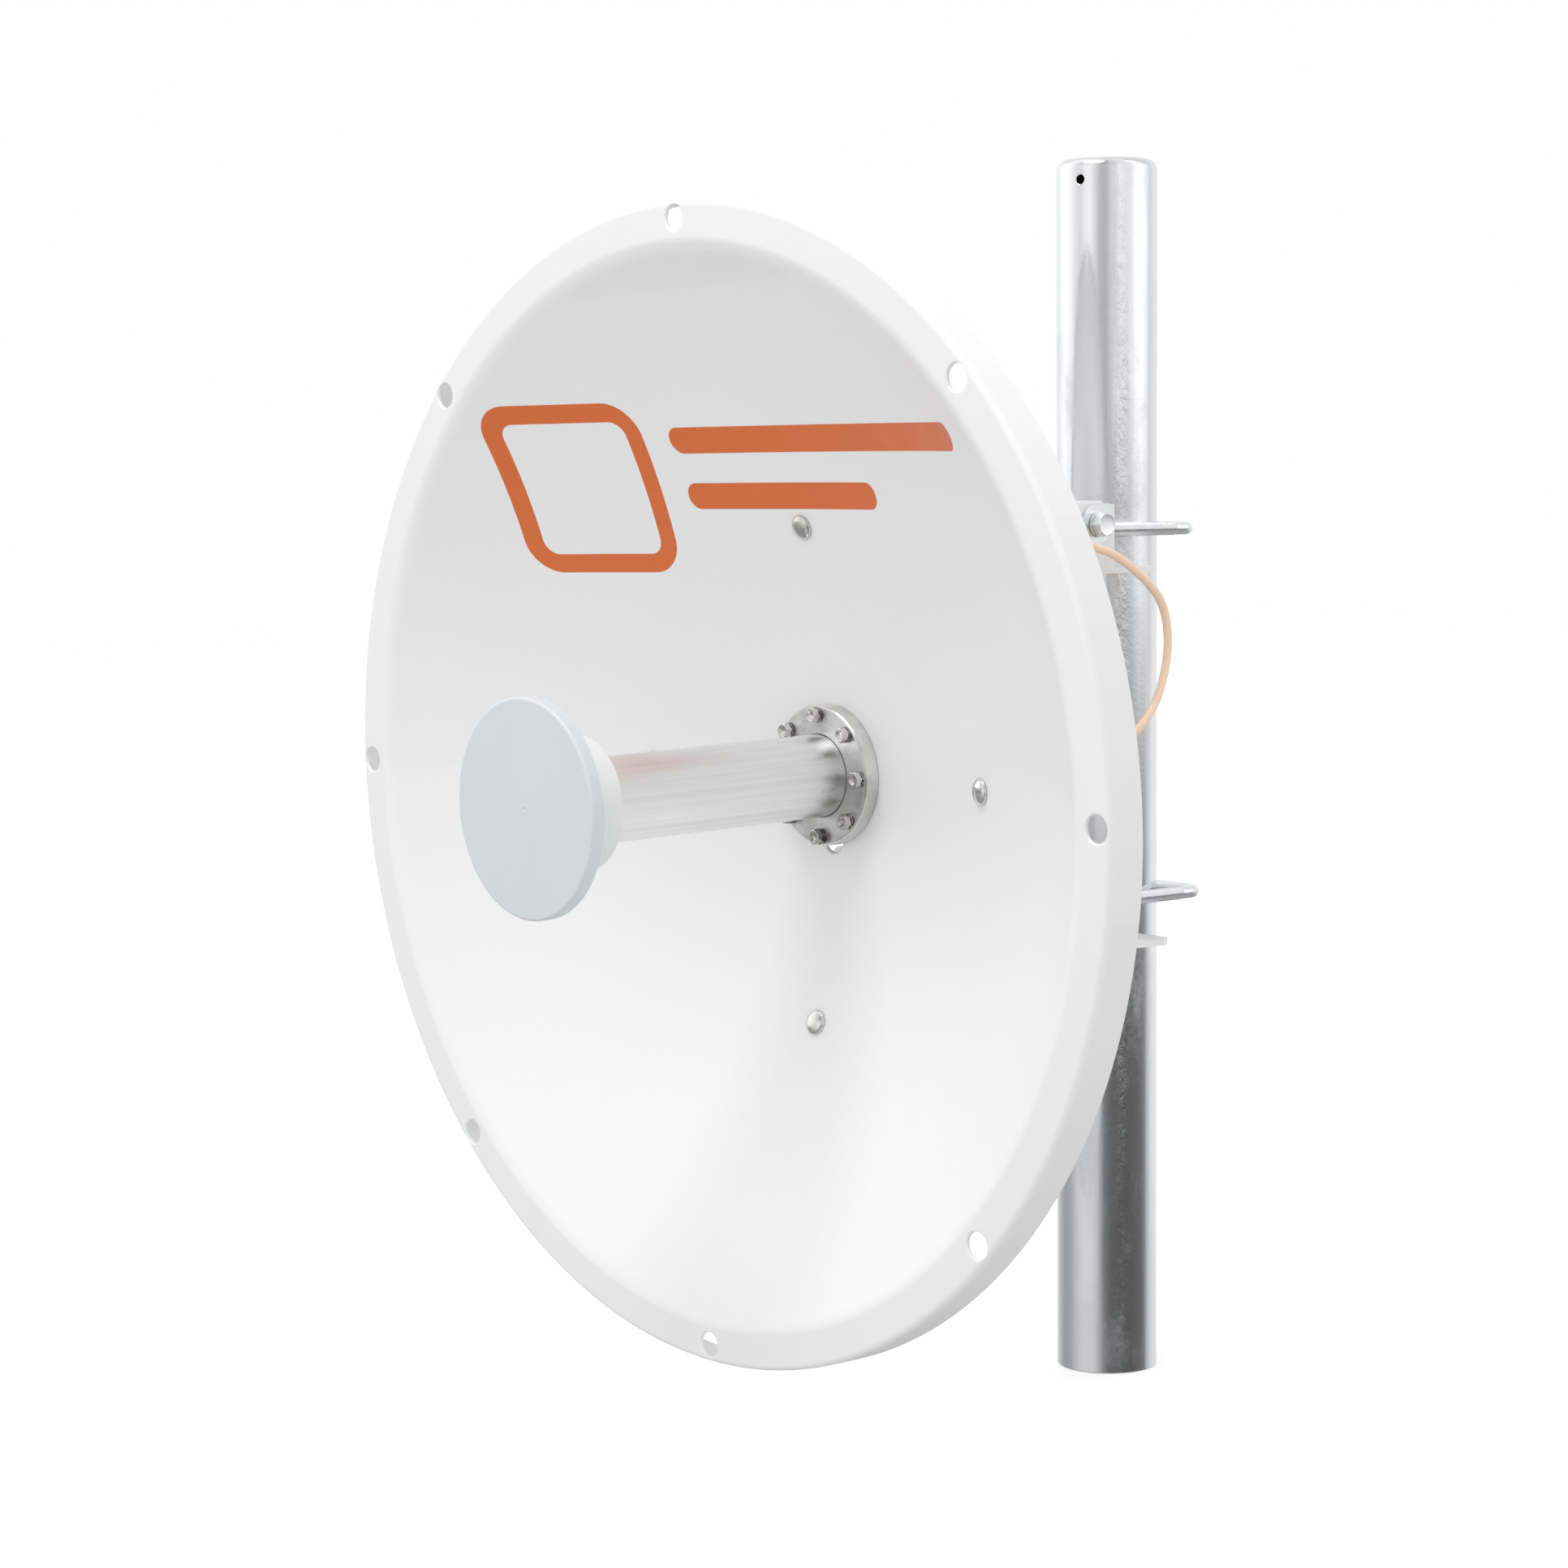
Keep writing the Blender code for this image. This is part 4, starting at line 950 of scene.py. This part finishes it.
def make_transducer():
    """The waveguide block behind the bowl, with one port in use and one under a cap."""
    start = TRANSDUCER_FRONT
    flange = raised(start, (0, 0), (0.0386, 0), (0.039, 0.0004), (0.039, 0.0076), (0.0384, 0.008))
    flange += eased(*raised(start, (0.030, 0.008), (0.024, 0.008), (0.024, 0.014)), 6)
    flange += [(0.024, BLOCK_FRONT + 0.002), (0, BLOCK_FRONT + 0.002)]
    block = box((-BLOCK_HALF, BLOCK_FRONT, -BLOCK_HALF), (BLOCK_HALF, BLOCK_BACK, BLOCK_HALF))
    bmesh.ops.bevel(block, geom=block.edges, offset=0.0022, segments=4, profile=0.5, affect="EDGES")
    steps = [("UNION", block)] + cut(*flange_bolt_holes(start - 0.002, FLANGE_BOLT_END + GAP))
    add_piece("feed_transducer", along_depth(flange, 96), steps, sharp=50)
    start = BLOCK_BACK + GAP
    port = raised(start, (0, 0), (0.0086, 0), (0.0088, 0.0002), (0.0088, 0.0028))
    port += raised(start, (0.0086, 0.003), (0.0071, 0.003))
    port += threaded(0.0076, 0.00105, 0.0005, start + 0.0034, start + 0.0155)
    port += raised(start, (0.0071, 0.016), (0.0060, 0.016), (0.0060, 0.006), (0.0012, 0.006))
    port += raised(start, (0.0012, 0.0115), (0.0008, 0.012), (0, 0.012))
    place = moved(PORT_X, 0, PORT_ABOVE_AXIS)
    add_piece("port_connector", along_depth(port, 64, place))
    ribs = ribbed(0.0096, 0.0004, 24)
    cap = raised(start, (0, 0), (0.0086, 0), (0.0088, 0.0003), (0.0088, 0.003), (0.0093, 0.0031))
    cap += raised(start, (0.0096, 0.0036), (ribs, 0.0045), (ribs, 0.0160), (0.0093, 0.0172))
    cap += raised(start, (0.0085, 0.0184), (0.0075, 0.0190), (0.0070, 0.0187), (0, 0.0187))
    place = moved(-PORT_X, 0, -PORT_ABOVE_AXIS)
    add_piece("port_cap", along_depth(cap, 192, place))


def plug_body():
    """A cable plug with local +Z towards its cable, which it grips over its last 12 mm."""
    grip = CABLE_RADIUS + 0.0001
    knurl = ribbed(0.0100, 0.0005, 30)
    profile = [(0.0079, 0.0003), (0.0082, 0), (0.0095, 0), (0.0098, 0.0003), (knurl, 0.0012)]
    profile += [(knurl, 0.0108), (0.0098, 0.0117), (0.0094, 0.0120), (0.0080, 0.0143)]
    profile += [(0.0078, 0.0148), (0.0078, 0.0176), (0.0074, 0.0180), (0.0048, 0.0198)]
    profile += [(0.0046, 0.0203), (0.0046, 0.0262), (0.0044, 0.0264), (0.0044, 0.0270)]
    profile += [(0.0046, 0.0272), (0.0046, 0.0324), (0.0042, 0.0330), (grip, 0.0330)]
    profile += [(grip, PLUG_GRIP), (0.0042, 0.0185), (0.0042, 0.0175), (0.0079, 0.0150)]
    return turned(profile, 240)


def smooth_route(spacing):
    """Points along a smooth curve through the cable's route, about this far apart."""
    route = [Vector(point) for point in CABLE_ROUTE]
    padded = [2 * route[0] - route[1]] + route + [2 * route[-1] - route[-2]]
    fine = []
    for before, start, end, after in zip(padded, padded[1:], padded[2:], padded[3:]):
        for step in range(48):
            t = step / 48
            bend = 2 * before - 5 * start + 4 * end - after
            twist = 3 * start - before - 3 * end + after
            fine.append(start + 0.5 * (t * (end - before) + t**2 * bend + t**3 * twist))
    points = [fine[0]]
    for point in fine:
        if (point - points[-1]).length >= spacing:
            points.append(point)
    return points + [route[-1]]


def make_cable():
    points = smooth_route(0.0016)
    cable = add_piece("jumper_cable", tube(points, CABLE_RADIUS, 32, "braid"), sharp=60)
    first = placed(plug_body(), ALONG_DEPTH, moved(PORT_X, PLUG_START, PORT_ABOVE_AXIS))
    add_piece("jumper_plug_port", first)
    end = Vector(CABLE_ROUTE[-1])
    last = placed(plug_body(), ALONG_DEPTH, moved(end.x, end.y - PLUG_GRIP - GAP, end.z))
    plug = add_piece("jumper_plug_free", last)
    grip = CABLE_RADIUS + GAP
    outer = grip + 0.0015
    ring = [(grip, -0.0037), (grip + 0.0003, -0.004), (outer - 0.0003, -0.004), (outer, -0.0037)]
    ring += [(outer, 0.0037), (outer - 0.0003, 0.004), (grip + 0.0003, 0.004), (grip, 0.0037)]
    body = along_depth(ring, 64, moved(end.x, CLIP_DEPTH, end.z))
    foot = box(
        (EAR_OUTER + GAP, CLIP_DEPTH - 0.0035, end.z - 0.0025),
        (end.x - grip - 0.0003, CLIP_DEPTH + 0.0035, end.z + 0.0025),
    )
    add_piece("cable_clip", body, [("UNION", foot)], edges=0.0003)


# Finishes


class Nodes:
    """A node tree, with short calls to add to it."""

    def __init__(self, tree):
        self.tree = tree

    def add(self, kind, inputs=(), **settings):
        """A new node. Each input is either a value or a socket to link it to."""
        node = self.tree.nodes.new(kind)
        for setting, value in settings.items():
            setattr(node, setting, value)
        for socket, value in dict(inputs).items():
            if isinstance(value, bpy.types.NodeSocket):
                self.tree.links.new(value, node.inputs[socket])
            else:
                node.inputs[socket].default_value = value
        return node

    def sum(self, operation, *terms):
        return self.add("ShaderNodeMath", enumerate(terms), operation=operation).outputs[0]

    def ramp(self, value, low, high, to_low=0.0, to_high=1.0):
        inputs = {"Value": value, "From Min": low, "From Max": high}
        inputs.update({"To Min": to_low, "To Max": to_high})
        return self.add("ShaderNodeMapRange", inputs, interpolation_type="SMOOTHSTEP").outputs[0]

    def blend(self, factor, first, second, **settings):
        inputs = {0: factor}
        for socket, value in ((6, first), (7, second)):
            inputs[socket] = value if isinstance(value, bpy.types.NodeSocket) else (*value, 1.0)
        return self.add("ShaderNodeMix", inputs, data_type="RGBA", **settings).outputs[2]


class Finish(Nodes):
    """A material built on one Principled shader."""

    def __init__(self, name, **sockets):
        self.name = name
        self.material = bpy.data.materials.new(f"{name}_finish")
        self.material.use_nodes = True
        super().__init__(self.material.node_tree)
        self.shader = self.tree.nodes["Principled BSDF"]
        for socket, value in sockets.items():
            self.shader.inputs[socket.replace("_", " ")].default_value = value
        self.object = self.add("ShaderNodeTexCoord").outputs["Object"]

    def squares(self, *pair):
        return self.sum("ADD", *[self.sum("POWER", part, 2.0) for part in pair])

    def axes(self):
        """The point's X, Y and Z in the piece's own frame."""
        return self.add("ShaderNodeSeparateXYZ", {0: self.object}).outputs

    def stretched(self, x, y, z):
        return self.add("ShaderNodeMapping", {"Vector": self.object, "Scale": (x, y, z)}).outputs[0]

    def noise(self, scale, detail=4.0, roughness=0.55, vector=None):
        vector = self.object if vector is None else vector
        inputs = {"Vector": vector, "Scale": scale, "Detail": detail, "Roughness": roughness}
        return self.add("ShaderNodeTexNoise", inputs).outputs[0]

    def stretched_noise(self, stretch, detail, roughness=0.55):
        """Noise with its own scale along each axis."""
        return self.noise(1.0, detail, roughness, self.stretched(*stretch))

    def base(self):
        """What the base color is linked to so far."""
        return self.shader.inputs["Base Color"].links[0].from_socket

    def color(self, value):
        self.tree.links.new(value, self.shader.inputs["Base Color"])

    def roughness(self, value):
        self.tree.links.new(value, self.shader.inputs["Roughness"])

    def bump(self, heights):
        """Bumps on top of each other, each a (height, strength, distance)."""
        normal = None
        for height, strength, distance in heights:
            inputs = {"Height": height, "Strength": strength, "Distance": distance}
            if normal:
                inputs["Normal"] = normal
            normal = self.add("ShaderNodeBump", inputs).outputs[0]
        self.tree.links.new(normal, self.shader.inputs["Normal"])


def enamel(name, color, peel=0.10):
    """Powder coat: a faint orange peel, and clouds too weak to see except in a highlight."""
    finish = Finish(name, Metallic=0.0, Specular_IOR_Level=0.45)
    clouds = finish.noise(9.0, 3.0)
    finish.color(finish.blend(clouds, tuple(0.975 * part for part in color), color))
    finish.roughness(finish.ramp(finish.noise(60.0), 0.3, 0.7, 0.36, 0.46))
    skin = finish.noise(900.0, 2.0)
    swell = finish.noise(160.0, 2.0)
    finish.bump([(swell, peel, 0.0006), (skin, peel * 1.2, 0.0002)])
    return finish


def marking_mask(finish):
    """1 inside the printed mark, an open square with round corners and two plain bars."""
    across, _, up = finish.axes()

    def off_block(middle, height, half_across, half_up):
        """The distance from a block that is rounded by adding to this distance."""
        past = []
        for value, centre, half in ((across, middle, half_across), (up, height, half_up)):
            off = finish.sum("ABSOLUTE", finish.sum("SUBTRACT", value, centre))
            past.append(finish.sum("SUBTRACT", off, half))
        squares = finish.squares(*[finish.sum("MAXIMUM", part, 0.0) for part in past])
        inside = finish.sum("MINIMUM", finish.sum("MAXIMUM", *past), 0.0)
        return finish.sum("ADD", finish.sum("SQRT", squares), inside)

    half = MARK_SQUARE_HALF - MARK_SQUARE_CORNER
    edge = finish.sum("SUBTRACT", off_block(*MARK_SQUARE, half, half), MARK_SQUARE_CORNER)
    outside = finish.sum("SUBTRACT", finish.sum("ABSOLUTE", edge), MARK_LINE_HALF)
    for left, right, height, half in MARK_BARS:
        block = off_block((left + right) / 2, height, (right - left) / 2 - half, 0.0)
        outside = finish.sum("MINIMUM", outside, finish.sum("SUBTRACT", block, half))
    return finish.ramp(outside, -0.0002, 0.0002, 1.0, 0.0)


def printed_paint(name, color):
    """The dish's front: the same powder coat, with a plain orange mark printed on it."""
    finish = enamel(name, color)
    grain = finish.noise(500.0, 2.0)
    ink = finish.blend(grain, (0.700, 0.150, 0.035), (0.740, 0.168, 0.042))
    finish.color(finish.blend(marking_mask(finish), finish.base(), ink))
    return finish


def plastic(name, color, roughness, grain):
    """Moulded plastic: a fine even grain and slow changes of tone."""
    finish = Finish(name, Metallic=0.0)
    clouds = finish.noise(28.0, 3.0)
    finish.color(finish.blend(clouds, tuple(0.96 * part for part in color), color))
    speck = finish.noise(120.0, 3.0)
    finish.roughness(finish.ramp(speck, 0.3, 0.7, roughness - 0.05, roughness + 0.06))
    finish.bump([(finish.noise(1400.0, 2.0), grain, 0.0002)])
    return finish


def streaked_metal(name, dark, bright, roughness, stretch, streaks=0.12):
    """Metal with a grain: stretch holds the noise's scale along each axis, so the lowest is the
    way that the grain runs."""
    finish = Finish(name, Metallic=1.0)
    fine = finish.stretched_noise(stretch, 5.0, 0.65)
    coarse = finish.stretched_noise([part * 0.18 for part in stretch], 3.0)
    blotch = finish.noise(45.0, 4.0)
    mixed = finish.sum("MULTIPLY_ADD", fine, 0.5, finish.sum("MULTIPLY", coarse, 0.5))
    finish.color(finish.blend(finish.ramp(mixed, 0.32, 0.68), dark, bright))
    rough = finish.sum("MULTIPLY_ADD", blotch, 0.5, finish.sum("MULTIPLY", fine, 0.5))
    finish.roughness(finish.ramp(rough, 0.3, 0.7, roughness - 0.07, roughness + 0.08))
    finish.bump([(fine, streaks, 0.0002)])
    return finish


def tube_metal(name):
    """Drawn aluminium, brushed lengthwise, and darker in patches over the stretch before it enters
    the flange.
    """
    grain = (1500.0, 16.0, 1500.0)
    finish = streaked_metal(name, (0.79, 0.79, 0.795), (0.89, 0.89, 0.89), 0.36, grain, 0.07)
    # Darker in noisy patches towards the flange, over the last 30 mm of the tube.
    near = finish.ramp(finish.axes()["Y"], 0.062, FLANGE_FRONT)
    patch_noise = finish.stretched_noise((170.0, 45.0, 90.0), 3.0, 0.6)
    darker_near_flange = finish.sum("MULTIPLY", near, finish.ramp(patch_noise, 0.54, 0.76, 0.0, 0.62))
    finish.color(finish.blend(darker_near_flange, finish.base(), (0.13, 0.13, 0.14)))
    return finish


def turned_metal(name):
    """Stainless steel faced on a lathe: rings of tool marks about the dish's axis."""
    finish = Finish(name, Metallic=1.0)
    across, _, up = finish.axes()
    reach = finish.sum("SQRT", finish.squares(across, up))
    turn = finish.sum("ARCTAN2", across, up)
    inputs = {0: finish.sum("MULTIPLY", reach, 5200.0), 1: finish.sum("MULTIPLY", turn, 1.6)}
    rings = finish.noise(1.0, 3.0, vector=finish.add("ShaderNodeCombineXYZ", inputs).outputs[0])
    cloud = finish.noise(70.0, 4.0)
    tone = finish.sum("MULTIPLY_ADD", cloud, 0.6, finish.sum("MULTIPLY", rings, 0.4))
    tone = finish.ramp(tone, 0.35, 0.65)
    finish.color(finish.blend(tone, (0.60, 0.60, 0.585), (0.84, 0.835, 0.82)))
    finish.roughness(finish.ramp(cloud, 0.3, 0.7, 0.24, 0.36))
    finish.bump([(rings, 0.10, 0.0001)])
    return finish


def galvanised_metal(name):
    """Hot-dip zinc on pipe: a faint spangle, vertical runs, grey blotches and a rough weld line."""
    finish = Finish(name, Metallic=1.0)
    inputs = {"Vector": finish.stretched(1.0, 1.0, 0.6), "Scale": 75.0}
    cells = finish.add("ShaderNodeTexVoronoi", inputs)
    spangle = finish.add("ShaderNodeSeparateColor", {0: cells.outputs["Color"]}).outputs[0]
    runs = finish.stretched_noise((170.0, 170.0, 5.0), 4.0, 0.6)
    blotch = finish.stretched_noise((26.0, 26.0, 11.0), 5.0, 0.6)
    x, y, _ = finish.axes()
    bearing = finish.sum("ARCTAN2", y, x)
    wander = finish.stretched_noise((0.0, 0.0, 14.0), 3.0)
    weld_line = finish.sum("MULTIPLY_ADD", wander, 0.34, WELD_BEARING - 0.17)
    off_weld = finish.sum("SUBTRACT", bearing, weld_line)
    weld = finish.ramp(finish.sum("ABSOLUTE", off_weld), 0.02, 0.20, 1.0, 0.0)
    lumps = finish.stretched_noise((330.0, 330.0, 120.0), 5.0, 0.65)
    weld_lumps = finish.sum("MULTIPLY", weld, lumps)
    pale = finish.ramp(blotch, 0.50, 0.68)
    base = finish.blend(runs, (0.76, 0.775, 0.80), (0.90, 0.905, 0.915))
    base = finish.blend(finish.sum("MULTIPLY", pale, 0.50), base, (0.74, 0.755, 0.765))
    base = finish.blend(finish.sum("MULTIPLY", spangle, 0.10), base, (0.64, 0.66, 0.69))
    base = finish.blend(finish.ramp(weld_lumps, 0.42, 0.70, 0.0, 0.30), base, (0.68, 0.695, 0.71))
    finish.color(base)
    soft = finish.sum("MULTIPLY_ADD", pale, 0.14, finish.sum("MULTIPLY", spangle, 0.03))
    grain = finish.noise(420.0, 3.0)
    finish.roughness(finish.sum("ADD", finish.ramp(grain, 0.3, 0.7, 0.08, 0.13), soft))
    finish.bump([(runs, 0.08, 0.0006), (weld_lumps, 0.36, 0.0009), (grain, 0.12, 0.0002)])
    return finish


def braided_jacket(name):
    """A clear tan jacket over a copper braid: two sets of strands that cross round the cable."""
    finish = Finish(name, Metallic=0.0, Coat_Weight=0.6, Coat_Roughness=0.18, Coat_IOR=1.4)
    uv = finish.add("ShaderNodeUVMap", uv_map="braid").outputs[0]
    split = finish.add("ShaderNodeSeparateXYZ", {0: uv})
    strands = []
    for lean in (1.0, -1.0):
        turn = finish.sum("MULTIPLY", split.outputs["X"], 2 * math.pi * 9)
        run = finish.sum("MULTIPLY", split.outputs["Y"], lean * 2 * math.pi * 520.0)
        wave = finish.sum("SINE", finish.sum("ADD", turn, run))
        strands.append(finish.sum("MULTIPLY_ADD", wave, 0.5, 0.5))
    weave = finish.sum("MAXIMUM", *strands)
    tone = finish.noise(240.0, 3.0)
    base = finish.blend(finish.ramp(weave, 0.25, 0.95), (0.82, 0.49, 0.32), (1.00, 0.76, 0.57))
    finish.color(finish.blend(finish.sum("MULTIPLY", tone, 0.25), base, (0.98, 0.70, 0.51)))
    finish.roughness(finish.ramp(weave, 0.2, 0.9, 0.46, 0.30))
    finish.bump([(weave, 0.18, 0.0003)])
    return finish


def make_materials():
    white = (0.865, 0.868, 0.872)
    metals = (
        ("zinc_plate", (0.80, 0.835, 0.845), (0.93, 0.955, 0.955), 0.30, (160, 160, 160), 0.03),
        ("bright_zinc", (0.62, 0.62, 0.61), (0.78, 0.78, 0.77), 0.13, (90, 90, 90), 0.03),
        ("bolt_steel", (0.50, 0.49, 0.47), (0.74, 0.73, 0.70), 0.15, (90, 90, 90), 0.03),
        ("washer_steel", (0.26, 0.25, 0.24), (0.42, 0.41, 0.39), 0.26, (90, 90, 90), 0.03),
        ("cast_aluminium", (0.46, 0.46, 0.46), (0.62, 0.62, 0.62), 0.42, (300, 300, 20), 0.12),
        ("nickel", (0.52, 0.50, 0.46), (0.70, 0.68, 0.63), 0.24, (120, 40, 120), 0.05),
    )
    plastics = (
        ("disc_plastic", (0.685, 0.725, 0.750), 0.42, 0.05),
        ("collar_plastic", (0.83, 0.835, 0.835), 0.44, 0.05),
        ("clip_plastic", (0.030, 0.030, 0.032), 0.50, 0.12),
        ("cap_rubber", (0.022, 0.022, 0.024), 0.70, 0.22),
    )
    finishes = [streaked_metal(*row) for row in metals] + [plastic(*row) for row in plastics]
    finishes += [enamel("dish_paint", white), printed_paint("printed_paint", white)]
    finishes += [enamel("bracket_paint", (0.84, 0.845, 0.85), 0.14)]
    finishes += [galvanised_metal("galvanised"), turned_metal("stainless")]
    finishes += [tube_metal("tube_aluminium"), braided_jacket("cable_braid")]
    return {finish.name: finish.material for finish in finishes}


# Studio


def add_camera():
    ahead = Vector((-math.sin(CAMERA_YAW), math.cos(CAMERA_YAW), 0)) * math.cos(CAMERA_DOWN)
    ahead.z = -math.sin(CAMERA_DOWN)
    right = Vector((math.cos(CAMERA_YAW), math.sin(CAMERA_YAW), 0))
    up = right.cross(ahead)
    x = right * math.cos(CAMERA_ROLL) + up * math.sin(CAMERA_ROLL)
    y = up * math.cos(CAMERA_ROLL) - right * math.sin(CAMERA_ROLL)
    camera = bpy.data.objects.new("camera", bpy.data.cameras.new("camera"))
    camera.data.lens = CAMERA_LENS
    camera.data.sensor_width = 36
    turn = Matrix((x, y, -ahead)).transposed().to_4x4()
    camera.matrix_world = Matrix.Translation(CAMERA_PLACE) @ turn
    bpy.context.scene.collection.objects.link(camera)
    bpy.context.scene.camera = camera


def add_top_light():
    light = bpy.data.lights.new("top_box", "AREA")
    light.shape = "RECTANGLE"
    light.size, light.size_y = LIGHT_SIZE
    light.energy = LIGHT_POWER
    lamp = bpy.data.objects.new("top_box", light)
    lamp.location = LIGHT_PLACE
    aim = Vector(LIGHT_TARGET) - Vector(LIGHT_PLACE)
    lamp.rotation_euler = aim.to_track_quat("-Z", "Y").to_euler()
    bpy.context.scene.collection.objects.link(lamp)


def add_world():
    """White to the camera. Matt surfaces gather an even light that is best at eye level, and
    shining ones see a room with bright and dark sides, which the mast shows as stripes."""
    world = bpy.data.worlds.new("studio")
    world.use_nodes = True
    world.node_tree.nodes.clear()
    sky = Nodes(world.node_tree)

    def tones(value, stops):
        """The tone at this value, from {value: tone}."""
        node = sky.add("ShaderNodeValToRGB", {0: value})
        elements = node.color_ramp.elements
        while len(elements) < len(stops):
            elements.new(0.5)
        for element, (position, tone) in zip(elements, sorted(stops.items())):
            element.position = position
            element.color = (tone, tone, tone, 1)
        return node.outputs[0]

    def turn_tones(value, stops):
        return tones(value, {(bearing + 180) / 360: tone for bearing, tone in stops.items()})

    def spread(value, half):
        """The value from -half to half, as 0 to 1."""
        return sky.add("ShaderNodeMapRange", {0: value, 1: -half, 2: half}).outputs[0]

    ahead = sky.add("ShaderNodeTexCoord").outputs["Generated"]
    x, y, z = sky.add("ShaderNodeSeparateXYZ", {0: ahead}).outputs
    turn = spread(sky.sum("ARCTAN2", y, x), math.pi)
    rise = spread(z, 1.0)
    level, below = turn_tones(turn, AROUND), turn_tones(turn, AROUND_BELOW)
    side = sky.blend(sky.ramp(z, *BELOW_FADE), level, below)
    side = sky.blend(sky.ramp(z, *DEEP_FADE), side, [DEEP_TONE] * 3)
    tone = sky.blend(1.0, side, tones(rise, RISE), blend_type="MULTIPLY")
    glow = "ShaderNodeBackground"
    shine = sky.add(glow, {0: tone, 1: ROOM_STRENGTH}).outputs[0]
    soft = sky.add(glow, {0: tones(rise, RISE_SOFT), 1: 1.0}).outputs[0]
    white = sky.add(glow, {0: (1, 1, 1, 1), 1: 1.0}).outputs[0]
    ray = sky.add("ShaderNodeLightPath").outputs
    mixed = "ShaderNodeMixShader"
    room = sky.add(mixed, {0: ray["Is Glossy Ray"], 1: soft, 2: shine}).outputs[0]
    seen = sky.add(mixed, {0: ray["Is Camera Ray"], 1: room, 2: white}).outputs[0]
    sky.add("ShaderNodeOutputWorld", {"Surface": seen})
    bpy.context.scene.world = world


def add_floor():
    bm = bmesh.new()
    bmesh.ops.create_grid(bm, x_segments=12, y_segments=12, size=8.0)
    floor = new_object("studio_floor", bm)
    finish = Finish("studio_floor", Metallic=0.0, Roughness=0.7)
    cloud = finish.noise(1.5)
    finish.color(finish.blend(cloud, (0.93, 0.93, 0.93), (0.95, 0.95, 0.95)))
    finish.shader.inputs["Emission Color"].default_value = (1, 1, 1, 1)
    finish.shader.inputs["Emission Strength"].default_value = 0.30
    floor.data.materials.append(finish.material)
    floor.visible_glossy = False
    floor.visible_diffuse = False


def main():
    add_camera()
    MATERIALS.update(make_materials())
    make_cable()
    make_mast()
    make_mount()
    make_cross_bolts("pivot", PIVOT.y, PIVOT.z)
    make_reflector()
    make_feed()
    make_flange_bolts()
    make_carriage_bolts()
    make_dish_bracket()
    make_cross_bolts("lock", LOCK_DEPTH, -LOCK_BELOW_AXIS)
    make_transducer()
    add_world()
    add_floor()
    add_top_light()
    bpy.context.scene.view_settings.view_transform = "Standard"


main()
